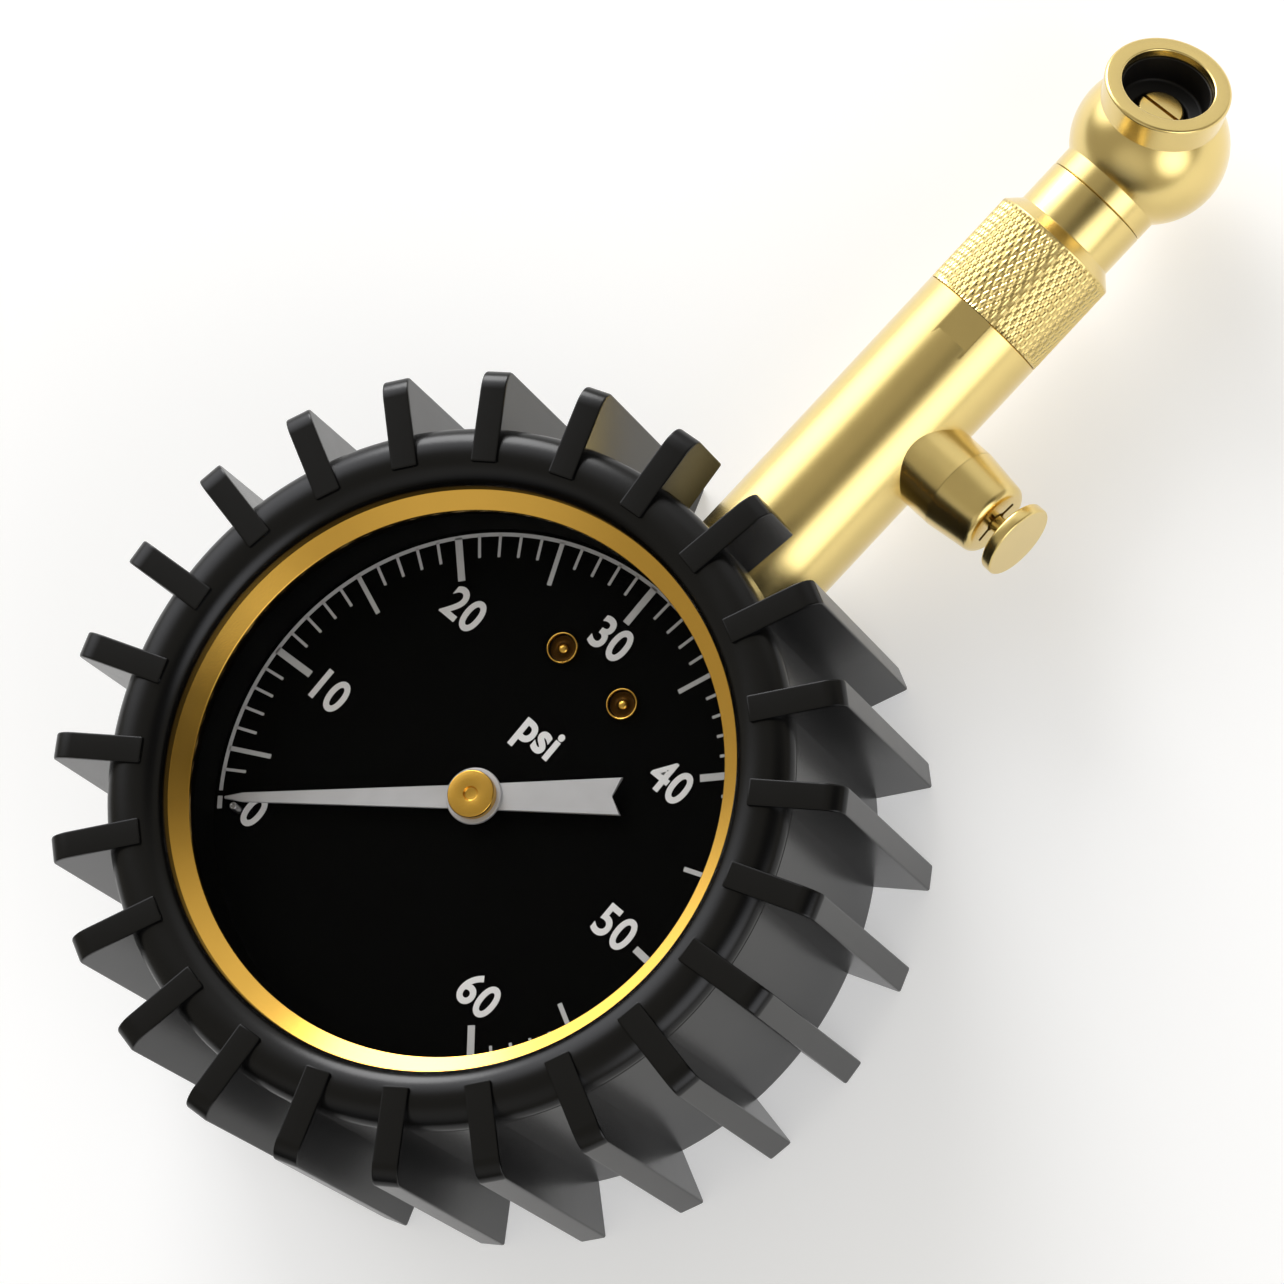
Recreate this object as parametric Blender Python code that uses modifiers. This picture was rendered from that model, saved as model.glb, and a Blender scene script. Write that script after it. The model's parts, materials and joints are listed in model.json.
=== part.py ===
"""Dial tyre-pressure gauge with a lugged rubber boot, a bleed button and a swivelling angled chuck.

The gauge lies on its back. +Z is the dial's normal, +Y runs along the stem, and the origin is on
the dial's axis at the boot's flat back. Sizes below are in millimetres; MM turns them into metres.
"""
import bpy
import bmesh
from math import acos, cos, degrees, pi, radians, sin, sqrt
from mathutils import Matrix, Vector

MM = 0.001

# ---- driving dimensions, millimetres ---------------------------------------------------------
GAP = 0.1                    # clearance between pieces that fit inside each other
SEAT = 0.05                  # clearance between faces that rest on each other
BOOT_RADIUS = 31.2           # plain outer wall between the lugs
LUG_TIP_RADIUS = 36.24
LUG_COUNT = 24
LUG_THICKNESS = 2.4
LUG_INNER_RADIUS = 27.7      # where a lug's front face starts on the rim
LUG_CORNER = (1.9, 1.4)      # radial and axial size of the rounded front corner
LUG_ROOT_RADIUS = 29.8       # lugs run this deep into the wall
BEZEL_Z = 28.6               # plane of the bezel's outer edge
LUG_FRONT_Z = 31.7
SHORT_LUG_BACK_Z = 23.4      # the two blocks beside the stem end here
RIM_TOP_Z = 31.35
CREASE_Z = 29.4              # where the rounded rim meets the plain wall
BOOT_FLOOR = 2.5
BOOT_LEDGE_Z = 22.0          # the bezel's skirt sits in a wider groove above this
WINDOW_HALF_WIDTH = 9.9      # opening in the boot's wall for the stem
WINDOW_TOP_Z = 25.2

CASE_RADIUS = 26.5
CASE_WALL = 0.8
CASE_BACK_Z = 2.8
CASE_FRONT_Z = 24.8
BEZEL_INNER_RADIUS = 24.36
BEZEL_FACE_RADIUS = 26.0     # visible outer edge, where the rubber lip starts
BEZEL_RADIUS = 27.2
BEZEL_BACK_Z = 22.6
BEZEL_SLOPE = 0.91           # the inner edge lies this far below the outer
BEZEL_LIP = 0.5
SPACER_WALL = 0.6
LENS_THICKNESS = 1.6
DIAL_TOP_Z = 20.3
DIAL_THICKNESS = 0.5
DIAL_RADIUS = 25.3
DIAL_SCREW = (3.87, 14.75)   # left and right of the stem's centre plane

POINTER_REST = 131.5         # degrees anticlockwise from the stem direction
POINTER_TRAVEL = 268.0       # rest to the end of the scale
POINTER_TIP = 23.3
POINTER_TAIL = 13.4
POINTER_Z = 21.3
STOP_PIN = (22.4, -2.1)      # radius, and degrees past the pointer's rest

STEM_Z = 10.0                # height of the stem's axis
STEM_RADIUS = 6.2
STEM_START = 27.6
KNURL_START = 61.45
KNURL_END = 70.8
NECK_START = 72.05
NECK_RADIUS = 5.05
SWIVEL_Y = 76.3              # joint line between neck and ball head
CLIP_Y = (80.88, 81.32)      # the snap ring that keeps the ball head on its spigot
BALL_Y = 83.25
BALL_RADIUS = 7.2
CHUCK_ANGLE = 56.0           # degrees from the stem's axis towards the dial's front
MOUTH_DISTANCE = 7.87        # from the ball's centre to the mouth's lip
MOUTH_RADIUS = 5.78
MOUTH_BORE = 4.18
PIN_TOP = 4.75               # the depressor's top, from the ball's centre
PIN_SLOT_ANGLE = -24.0
BLEED_Y = 49.0
BLEED_RADIUS = 4.15
BLEED_SEAM_X = 9.2           # where the cap screws on to the side boss
BLEED_END_X = 13.9
BUTTON_FACE_X = 16.75

GEAR_MODULE = 0.8 / 3.0
PINION_TEETH = 10
TOOTH_HALF_WIDTH = 0.22      # at the pitch circle, as a share of the pitch
GEAR_RATIO = 8.0             # pointer turn over sector turn
GEAR_CENTRES = 12.0
SECTOR_PIVOT = (-GEAR_CENTRES, 0.0)
SECTOR_TRAVEL = POINTER_TRAVEL / GEAR_RATIO
TAIL_LENGTH = 4.6
LINK_TUBE_PIN = (-15.1, 9.8)
GEAR_Z = 8.0
GEAR_THICKNESS = 1.2
TUBE_RADIUS = 20.5

UPRIGHT = (0.0, 0.0, 0.0)
ALONG_X = (0.0, pi / 2, 0.0)
ALONG_Y = (-pi / 2, 0.0, 0.0)
ALONG_CHUCK = (-radians(90.0 - CHUCK_ANGLE), 0.0, 0.0)

BIG = 48                     # steps round the case and its rings
ROUND = 24                   # round the stem and the ball head
MEDIUM = 24
SMALL = 12


# ---- scene, collections and materials --------------------------------------------------------
for old in list(bpy.data.objects):
    bpy.data.objects.remove(old, do_unlink=True)


def collection(name):
    made = bpy.data.collections.new(name)
    bpy.context.scene.collection.children.link(made)
    return made


PARTS = collection("tyre_pressure_gauge")
CUTTERS = collection("cutters")


def material(name, colour, roughness, metallic=0.0, alpha=1.0):
    made = bpy.data.materials.new(name)
    made.use_nodes = True
    shader = made.node_tree.nodes["Principled BSDF"]
    shader.inputs["Base Color"].default_value = (*colour, 1.0)
    shader.inputs["Roughness"].default_value = roughness
    shader.inputs["Metallic"].default_value = metallic
    shader.inputs["Alpha"].default_value = alpha
    made.diffuse_color = (*colour, alpha)
    return made


RUBBER = material("rubber", (0.02, 0.02, 0.02), 0.6)
GOLD = material("satin_gold", (0.72, 0.50, 0.15), 0.3, 1.0)
BRASS = material("satin_brass", (0.80, 0.68, 0.38), 0.3, 1.0)
STEEL = material("plain_steel", (0.55, 0.55, 0.56), 0.35, 1.0)
SILVER = material("pointer_silver", (0.55, 0.55, 0.55), 0.5, 0.5)
BLACK = material("gloss_black", (0.008, 0.008, 0.008), 0.25)
CLEAR = material("clear_lens", (1.0, 1.0, 1.0), 0.02, 0.0, 0.1)
SPRING_STEEL = material("spring_steel", (0.45, 0.45, 0.47), 0.3, 1.0)


# ---- modelling helpers -----------------------------------------------------------------------
def place(obj, surface, at=(0, 0, 0), turn=UPRIGHT, holder=None):
    """Links an object among the parts, with its origin at a point given in millimetres."""
    PARTS.objects.link(obj)
    obj.location = Vector(at) * MM
    obj.rotation_euler = turn
    if holder is not None:
        obj.parent = holder
        obj.matrix_parent_inverse = holder.matrix_basis.inverted()
    obj.data.materials.append(surface)
    return obj


def as_cutter(obj):
    """Moves an object out of the parts, into the wire-drawn cutters."""
    if obj.name in PARTS.objects:
        PARTS.objects.unlink(obj)
    CUTTERS.objects.link(obj)
    obj.hide_render = True
    obj.display_type = 'WIRE'
    return obj


def pivot(name, at, turn=UPRIGHT):
    """An empty on a joint's axis, which its moving pieces are parented to."""
    empty = bpy.data.objects.new(name, None)
    PARTS.objects.link(empty)
    empty.location = Vector(at) * MM
    empty.rotation_euler = turn
    empty.empty_display_size = 3 * MM
    return empty


def turned(name, profile, surface, steps=MEDIUM, **placing):
    """A solid of revolution about local Z. The profile of (radius, height) points runs down its
    outer side, and closes on itself unless both ends are on the axis."""
    mesh = bpy.data.meshes.new(name)
    points = [(r * MM, 0.0, z * MM) for r, z in profile]
    edges = [(i, i + 1) for i in range(len(points) - 1)]
    if profile[0][0] > 0.0:
        edges.append((len(points) - 1, 0))
    mesh.from_pydata(points, edges, [])
    obj = place(bpy.data.objects.new(name, mesh), surface, **placing)
    screw = obj.modifiers.new("Turn", 'SCREW')
    screw.angle = 2 * pi
    screw.steps = steps
    screw.render_steps = steps
    screw.use_merge_vertices = True
    screw.merge_threshold = 0.000001
    screw.use_smooth_shade = True
    return obj


def rod(name, radius, low, high, surface, steps=SMALL, **placing):
    """A plain cylinder from height low to height high on local Z."""
    profile = [(0.0, high), (radius, high), (radius, low), (0.0, low)]
    return turned(name, profile, surface, steps, **placing)


def ring(name, inner, outer, low, high, surface, steps=MEDIUM, **placing):
    profile = [(outer, high), (outer, low), (inner, low), (inner, high)]
    return turned(name, profile, surface, steps, **placing)


def torus(name, radius, thickness, surface, height=0.0, sides=8, steps=MEDIUM, **placing):
    profile = []
    for i in range(sides):
        angle = -2 * pi * i / sides
        profile.append((radius + thickness * cos(angle), height + thickness * sin(angle)))
    return turned(name, profile, surface, steps, **placing)


def box(name, low, high, surface):
    """A box between two opposite corners, made from a primitive cube with its origin central."""
    mesh = bpy.data.meshes.new(name)
    solid = bmesh.new()
    bmesh.ops.create_cube(solid, size=1.0)
    size = [(h - l) * MM for l, h in zip(low, high)]
    bmesh.ops.scale(solid, vec=size, verts=solid.verts)
    solid.to_mesh(mesh)
    solid.free()
    centre = [(l + h) / 2 for l, h in zip(low, high)]
    return place(bpy.data.objects.new(name, mesh), surface, at=centre)


def plate(name, outlines, low, high, surface, **placing):
    """A flat plate between two heights. The first outline is its edge and the rest are holes."""
    curve = bpy.data.curves.new(name, 'CURVE')
    curve.dimensions = '2D'
    curve.fill_mode = 'BOTH'
    curve.extrude = (high - low) / 2 * MM
    for outline in outlines:
        spline = curve.splines.new('POLY')
        spline.points.add(len(outline) - 1)
        for point, (x, y) in zip(spline.points, outline):
            point.co = (x * MM, y * MM, 0.0, 1.0)
        spline.use_cyclic_u = True
    obj = bpy.data.objects.new(name, curve)
    x, y = placing.pop("at", (0.0, 0.0))
    return place(obj, surface, at=(x, y, (low + high) / 2), **placing)


def wire(name, points, thickness, surface, **placing):
    """A round wire through points given in millimetres."""
    curve = bpy.data.curves.new(name, 'CURVE')
    curve.dimensions = '3D'
    curve.bevel_depth = thickness / 2 * MM
    curve.bevel_resolution = 1
    curve.use_fill_caps = True
    spline = curve.splines.new('POLY')
    spline.points.add(len(points) - 1)
    for point, co in zip(spline.points, points):
        point.co = (*(Vector(co) * MM), 1.0)
    return place(bpy.data.objects.new(name, curve), surface, **placing)


def combine(target, operation, other):
    """Cuts a piece with a cutter, or joins a guide shape to it."""
    as_cutter(other)
    modifier = target.modifiers.new(other.name, 'BOOLEAN')
    modifier.operation = operation
    modifier.solver = 'EXACT'
    modifier.object = other


def cut(target, *others):
    for other in others:
        combine(target, 'DIFFERENCE', other)


def join(target, *others):
    for other in others:
        combine(target, 'UNION', other)


def circle(radius, centre=(0.0, 0.0), sides=SMALL):
    return [(centre[0] + radius * cos(2 * pi * i / sides), centre[1] + radius * sin(2 * pi * i / sides))
            for i in range(sides)]


def arc(centre, radii, start, end, steps):
    """Points on an elliptical arc between two angles in degrees, both ends included."""
    points = []
    for i in range(steps + 1):
        angle = radians(start + (end - start) * i / steps)
        points.append((centre[0] + radii[0] * cos(angle), centre[1] + radii[1] * sin(angle)))
    return points


def helix(radius, start, end, turns, per_turn=8):
    """Points of a compression spring on local Z."""
    count = turns * per_turn
    points = []
    for i in range(count + 1):
        angle = 2 * pi * i / per_turn
        points.append((radius * cos(angle), radius * sin(angle), start + (end - start) * i / count))
    return points


# ---- rubber boot -----------------------------------------------------------------------------
def lug_mesh(solid, angle, back):
    """Adds one plate-like lug to a bmesh: its side outline, extruded by the lug's thickness."""
    dr, dz = LUG_CORNER
    corner = arc((LUG_TIP_RADIUS - dr, LUG_FRONT_Z - dz), (dr, dz), 90.0, 0.0, 3)
    root = LUG_ROOT_RADIUS
    outline = [(LUG_INNER_RADIUS, LUG_FRONT_Z), *corner, (LUG_TIP_RADIUS, back), (root, back),
               (root, CREASE_Z - 1.0), (LUG_INNER_RADIUS, CREASE_Z)]
    turn = Matrix.Rotation(radians(90.0 - angle), 4, 'Z')
    rings = []
    for side in (-LUG_THICKNESS / 2, LUG_THICKNESS / 2):
        rings.append([solid.verts.new(turn @ (Vector((r, side, z)) * MM)) for r, z in outline])
    solid.faces.new(rings[0])
    solid.faces.new(list(reversed(rings[1])))
    for i in range(len(outline)):
        j = (i + 1) % len(outline)
        solid.faces.new((rings[0][j], rings[0][i], rings[1][i], rings[1][j]))


def lugs():
    """All the lugs as one guide mesh, clear of each other."""
    mesh = bpy.data.meshes.new("lugs")
    solid = bmesh.new()
    step = 360.0 / LUG_COUNT
    for i in range(LUG_COUNT):
        angle = step * (i + 0.5)
        beside_stem = i in (0, LUG_COUNT - 1)
        lug_mesh(solid, angle, SHORT_LUG_BACK_Z if beside_stem else 0.0)
    bmesh.ops.recalc_face_normals(solid, faces=solid.faces)
    solid.to_mesh(mesh)
    solid.free()
    return place(bpy.data.objects.new("lugs", mesh), RUBBER)


def rubber_boot():
    half = (BOOT_RADIUS - BEZEL_FACE_RADIUS) / 2
    rim = arc((BOOT_RADIUS - half, CREASE_Z - 0.4), (half, RIM_TOP_Z - CREASE_Z + 0.4), 180.0, 0.0, 7)
    inner = CASE_RADIUS + 0.2
    groove = BEZEL_RADIUS + 0.15
    profile = [(0.0, BOOT_FLOOR), (inner, BOOT_FLOOR), (inner, BOOT_LEDGE_Z), (groove, BOOT_LEDGE_Z),
               (groove, BEZEL_Z + GAP), (BEZEL_FACE_RADIUS, BEZEL_Z + GAP), *rim,
               (BOOT_RADIUS, 0.5), (BOOT_RADIUS - 0.5, 0.0), (0.0, 0.0)]
    boot = turned("rubber_boot", profile, RUBBER, BIG)
    window = box("stem_window", (-WINDOW_HALF_WIDTH, 18.0, BOOT_FLOOR),
                 (WINDOW_HALF_WIDTH, 34.0, WINDOW_TOP_Z), RUBBER)
    cut(boot, window)
    join(boot, lugs())


# ---- case, bezel, lens and dial --------------------------------------------------------------
def case_and_window():
    inner = CASE_RADIUS - CASE_WALL
    floor = CASE_BACK_Z + CASE_WALL
    case = turned("case", [(0.0, floor), (inner, floor), (inner, CASE_FRONT_Z),
                           (CASE_RADIUS, CASE_FRONT_Z), (CASE_RADIUS, CASE_BACK_Z + 1.0),
                           (CASE_RADIUS - 1.0, CASE_BACK_Z), (0.0, CASE_BACK_Z)], STEEL, BIG)
    cut(case, rod("case_hole", 5.0, 20.0, 30.0, STEEL, MEDIUM, at=(0, 0, STEM_Z), turn=ALONG_Y))

    slope_z = BEZEL_Z - BEZEL_SLOPE
    lip_z = slope_z - BEZEL_LIP
    skirt = CASE_RADIUS + GAP
    turned("bezel_ring", [(BEZEL_FACE_RADIUS, BEZEL_Z), (BEZEL_RADIUS - 0.3, BEZEL_Z),
                          (BEZEL_RADIUS, BEZEL_Z - 0.3), (BEZEL_RADIUS, BEZEL_BACK_Z), (skirt, BEZEL_BACK_Z),
                          (skirt, lip_z), (BEZEL_INNER_RADIUS, lip_z),
                          (BEZEL_INNER_RADIUS, slope_z)], GOLD, BIG)
    lens_top = lip_z - GAP
    lens_low = lens_top - LENS_THICKNESS
    rod("lens", CASE_RADIUS - GAP, lens_low, lens_top, CLEAR, BIG)
    ring("lens_gasket", inner + GAP, CASE_RADIUS - GAP, CASE_FRONT_Z + SEAT, lens_low - SEAT,
         RUBBER, BIG)
    ring("spacer_ring", DIAL_RADIUS - SPACER_WALL, DIAL_RADIUS, DIAL_TOP_Z + SEAT, lens_low - SEAT,
         BLACK, BIG)


def dial():
    low = DIAL_TOP_Z - DIAL_THICKNESS
    x, y = DIAL_SCREW
    pin_x, pin_y = stop_pin_place()
    plate("dial_plate", [circle(DIAL_RADIUS, sides=BIG), circle(1.4),
                         circle(0.8, (-x, y)), circle(0.8, (x, y)), circle(0.45, (pin_x, pin_y))],
          low, DIAL_TOP_Z, BLACK)
    for name, side in (("dial_screw_left", -1), ("dial_screw_right", 1)):
        head = DIAL_TOP_Z + SEAT
        turned(name, [(0.0, head + 0.75), (0.7, head + 0.7), (1.2, head + 0.4), (1.35, head),
                      (0.65, head), (0.65, DIAL_TOP_Z - 3.5), (0.0, DIAL_TOP_Z - 3.5)],
               BRASS, SMALL, at=(side * x, y, 0))
    rod("stop_pin", 0.35, low - 0.4, POINTER_Z + 0.5, STEEL, 12, at=(pin_x, pin_y, 0))


def stop_pin_place():
    radius, past = STOP_PIN
    angle = radians(90.0 + POINTER_REST - past)
    return radius * cos(angle), radius * sin(angle)


# ---- socket block and Bourdon tube -----------------------------------------------------------
BLOCK_HALF_WIDTH = 7.0
BLOCK_Y = (12.5, 24.0)
BLOCK_Z = (6.6, 15.0)
PLATE_SCREW_Y = 17.0         # the two screws that hold the movement to the block
TUBE_HALF = (1.0, 2.5)       # radial and axial half sizes of the flattened tube
TUBE_WALL = 0.3
TUBE_START = 17.5            # degrees clockwise from the stem direction
TUBE_SWEEP = 282.5


def socket():
    block = box("socket_block", (-BLOCK_HALF_WIDTH, BLOCK_Y[0], BLOCK_Z[0]),
                (BLOCK_HALF_WIDTH, BLOCK_Y[1], BLOCK_Z[1]), BRASS)
    x, y = DIAL_SCREW
    post_top = DIAL_TOP_Z - DIAL_THICKNESS - SEAT
    join(block, rod("shank", 4.7, 22.0, 34.4, BRASS, 24, at=(0, 0, STEM_Z), turn=ALONG_Y))
    for side in (-1, 1):
        join(block, rod("dial_post", 1.8, 14.0, post_top, BRASS, at=(side * x, y, 0)))
        cut(block, rod("dial_screw_hole", 0.75, 16.0, 21.0, BRASS, 12, at=(side * x, y, 0)))
        cut(block, rod("plate_screw_hole", 0.75, 5.0, 9.2, BRASS, 12, at=(side * x, PLATE_SCREW_Y, 0)))
    cut(block, rod("air_passage", 1.4, 19.4, 36.0, BRASS, 12, at=(0, 0, STEM_Z), turn=ALONG_Y))
    cut(block, rod("side_passage", 0.8, 0.0, 6.5, BRASS, 12, at=(0, 19.6, STEM_Z), turn=ALONG_X))
    cut(block, box("tube_pocket", (5.6, 17.8, STEM_Z - 2.65), (9.0, 21.2, STEM_Z + 2.65), BRASS))
    ring("stem_washer", 4.85, STEM_RADIUS - 0.3, CASE_RADIUS + 0.15, STEM_START - SEAT, RUBBER, MEDIUM,
         at=(0, 0, STEM_Z), turn=ALONG_Y)


def bourdon_tube():
    """A flattened tube: an oval ring face, spun about the dial's axis from the socket."""
    mesh = bpy.data.meshes.new("bourdon_tube")
    solid = bmesh.new()
    sides = 8
    loops = []
    for shrink in (0.0, TUBE_WALL):
        loop = []
        for i in range(sides):
            angle = 2 * pi * (i + 0.5) / sides
            r = TUBE_RADIUS + (TUBE_HALF[0] - shrink) * cos(angle)
            z = (TUBE_HALF[1] - shrink) * sin(angle)
            loop.append(solid.verts.new(Vector((0.0, r, z)) * MM))
        loops.append(loop)
    faces = []
    for i in range(sides):
        j = (i + 1) % sides
        faces.append(solid.faces.new((loops[0][i], loops[0][j], loops[1][j], loops[1][i])))
    bmesh.ops.rotate(solid, verts=solid.verts, cent=(0, 0, 0),
                     matrix=Matrix.Rotation(-radians(TUBE_START), 3, 'Z'))
    bmesh.ops.spin(solid, geom=faces + list(solid.edges) + list(solid.verts), cent=(0, 0, 0),
                   axis=(0, 0, -1), dvec=(0, 0, 0), angle=radians(TUBE_SWEEP), steps=28,
                   use_duplicate=False)
    bmesh.ops.recalc_face_normals(solid, faces=solid.faces)
    solid.to_mesh(mesh)
    solid.free()
    mesh.shade_smooth()
    place(bpy.data.objects.new("bourdon_tube", mesh), BRASS, at=(0, 0, STEM_Z))


# ---- movement --------------------------------------------------------------------------------
BACK_PLATE_Z = (5.4, 6.4)
FRONT_PLATE_Z = (13.2, 14.2)
LINK_Z = (9.5, 10.1)
PILLARS = ((3.6, -3.6), (-12.6, -5.2), (-12.6, 5.2), (3.6, 6.2))
HAIRSPRING_Z = (11.0, 11.7)


def gear_tooth(pitch_radius, centre_angle, half_width):
    """Four points of one tooth, from its root round its tip, as (radius, angle in radians)."""
    shape = ((-1.1, 1.55), (0.0, 1.0), (0.8, 0.42))      # height in modules, share of half_width
    radii = [pitch_radius + height * GEAR_MODULE for height, width in shape]
    angles = [half_width * width for height, width in shape]
    left = [(r, centre_angle - a) for r, a in zip(radii, angles)]
    right = [(r, centre_angle + a) for r, a in zip(radii, angles)]
    return left + right[::-1]


def polar(points, centre=(0.0, 0.0)):
    return [(centre[0] + r * cos(a), centre[1] + r * sin(a)) for r, a in points]


def pinion_outline():
    """Teeth all round, with a gap facing the sector's pivot, so a sector tooth sits in it."""
    radius = GEAR_MODULE * PINION_TEETH / 2
    pitch_angle = 2 * pi / PINION_TEETH
    points = []
    for i in range(PINION_TEETH):
        points += gear_tooth(radius, pi + pitch_angle * (i + 0.5), TOOTH_HALF_WIDTH * pitch_angle)
    return polar(points)


def sector_outline():
    """Hub and toothed arc, drawn about the pivot, at rest. A tooth centre faces the pinion."""
    radius = GEAR_CENTRES - GEAR_MODULE * PINION_TEETH / 2
    pitch_angle = pi * GEAR_MODULE / radius
    first = -int((radians(SECTOR_TRAVEL) / pitch_angle) + 2.5)
    points = []
    for i in range(first, 3):
        points += gear_tooth(radius, pitch_angle * i, TOOTH_HALF_WIDTH * pitch_angle)
    rim_start, rim_end = pitch_angle * (first - 0.5), pitch_angle * 2.5
    body = [(8.2, rim_end), (3.0, rim_end * 1.6)]
    tail_angle = pi - radians(SECTOR_TRAVEL / 2)
    tail_end = TAIL_LENGTH + 1.0
    tail = [(TAIL_LENGTH, tail_angle - 0.27), (tail_end, tail_angle - 0.13),
            (tail_end, tail_angle + 0.13), (TAIL_LENGTH, tail_angle + 0.27)]
    hub = [(2.0, 1.1), (2.2, 1.9), *tail, (2.2, 3.9), (2.0, 4.7),
           (3.0, 2 * pi + rim_start * 1.25), (8.2, 2 * pi + rim_start)]
    return polar(points + body + hub)


def tail_pin_place():
    """The sector's tail pin at rest, as an offset from the pivot."""
    angle = pi - radians(SECTOR_TRAVEL / 2)
    return TAIL_LENGTH * cos(angle), TAIL_LENGTH * sin(angle)


def plate_outline():
    return [(-15.6, -6.6), (-12.0, -7.4), (4.4, -5.6), (6.4, -2.0), (6.6, 11.8), (-6.6, 11.8),
            (-7.6, 7.2), (-12.0, 7.4), (-15.6, 6.6)]


def movement_plates():
    x = DIAL_SCREW[0]
    shaft_holes = [circle(0.66), circle(0.56, SECTOR_PIVOT, 12)]
    back = plate_outline()
    back[4:6] = [(6.6, 20.5), (-6.6, 20.5)]
    screw_holes = [circle(0.75, (side * x, PLATE_SCREW_Y), 12) for side in (-1, 1)]
    plate("movement_back_plate", [back, *shaft_holes, *screw_holes], *BACK_PLATE_Z, BRASS)
    plate("movement_front_plate", [plate_outline(), *shaft_holes], *FRONT_PLATE_Z, BRASS)
    for i, (px, py) in enumerate(PILLARS, 1):
        rod(f"movement_pillar_{i}", 1.0, BACK_PLATE_Z[1] + SEAT, FRONT_PLATE_Z[0] - SEAT, BRASS, 12,
            at=(px, py, 0))
    for i, side in enumerate((-1, 1), 1):
        low = BACK_PLATE_Z[0] - SEAT
        turned(f"movement_screw_{i}", [(0.0, 9.0), (0.65, 9.0), (0.65, low), (1.4, low),
                                       (1.4, low - 0.8), (0.0, low - 0.8)], STEEL, 12,
               at=(side * x, PLATE_SCREW_Y, 0))


def pointer_set():
    axis = pivot("pointer_axis", (0, 0, POINTER_Z))
    rod("pointer_arbor", 0.6, BACK_PLATE_Z[0] + 0.2, POINTER_Z + 1.25, STEEL, SMALL, holder=axis)
    plate("pinion", [pinion_outline(), circle(0.63)], GEAR_Z, GEAR_Z + GEAR_THICKNESS, BRASS,
          holder=axis)
    ring("hairspring_collet", 0.64, 1.05, HAIRSPRING_Z[0] - 0.2, HAIRSPRING_Z[1] + 0.2, BRASS, SMALL,
         holder=axis)

    tail = POINTER_TAIL
    outline = [(0.9, 1.05), (POINTER_TIP - 1.7, 0.4), (POINTER_TIP, 0.12), (POINTER_TIP, -0.12),
               (POINTER_TIP - 1.7, -0.4), (0.9, -1.05), (-1.0, -1.15), (-tail, -1.68),
               (0.9 - tail, 0.0), (-tail, 1.68), (-1.0, 1.15)]
    direction = radians(90.0 + POINTER_REST)
    turned_outline = [(x * cos(direction) - y * sin(direction), x * sin(direction) + y * cos(direction))
                      for x, y in outline]
    plate("pointer", [turned_outline, circle(0.63)], POINTER_Z, POINTER_Z + 0.35, SILVER, holder=axis)
    ring("pointer_boss", 0.63, 2.55, POINTER_Z + 0.4, POINTER_Z + 0.7, SILVER, 24, holder=axis)
    cap = POINTER_Z + 0.75
    turned("hub_cap", [(0.0, cap + 0.7), (0.45, cap + 0.7), (0.6, cap + 0.85), (1.9, cap + 0.85),
                       (2.15, cap + 0.65), (2.15, cap), (0.7, cap), (0.7, cap + 0.55),
                       (0.0, cap + 0.55)], GOLD, 24, holder=axis)


def hairspring():
    """A flat spiral strip, as one outline: out along its outer edge and back along its inner."""
    turns, inner, outer, strip = 3.5, 1.25, 4.0, 0.14
    count = int(turns * 16)
    spiral = []
    for i in range(count + 1):
        angle = 2 * pi * turns * i / count
        spiral.append((inner + (outer - inner) * i / count, angle))
    outward = [(r + strip, a) for r, a in spiral]
    plate("hairspring", [polar(outward + spiral[::-1])], *HAIRSPRING_Z, SPRING_STEEL)
    end = radians(360 * (turns % 1))
    rod("hairspring_stud", 0.4, HAIRSPRING_Z[0], FRONT_PLATE_Z[0] - SEAT, BRASS, 12,
        at=((outer + 0.75) * cos(end), (outer + 0.75) * sin(end), 0))


def sector():
    axis = pivot("sector_axis", (*SECTOR_PIVOT, GEAR_Z))
    tail = tail_pin_place()
    plate("sector_gear", [sector_outline(), circle(0.53, sides=12), circle(0.48, tail, 12)],
          GEAR_Z, GEAR_Z + GEAR_THICKNESS, BRASS, at=SECTOR_PIVOT, holder=axis)
    rod("sector_arbor", 0.5, BACK_PLATE_Z[0] + 0.2, FRONT_PLATE_Z[1] - 0.2, STEEL, 12,
        at=(*SECTOR_PIVOT, 0), holder=axis)
    tail_x, tail_y = (SECTOR_PIVOT[0] + tail[0], SECTOR_PIVOT[1] + tail[1])
    rod("link_pin_sector", 0.45, GEAR_Z + 0.1, LINK_Z[1] + 0.4, STEEL, 12, at=(tail_x, tail_y, 0),
        holder=axis)
    return tail_x, tail_y


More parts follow.
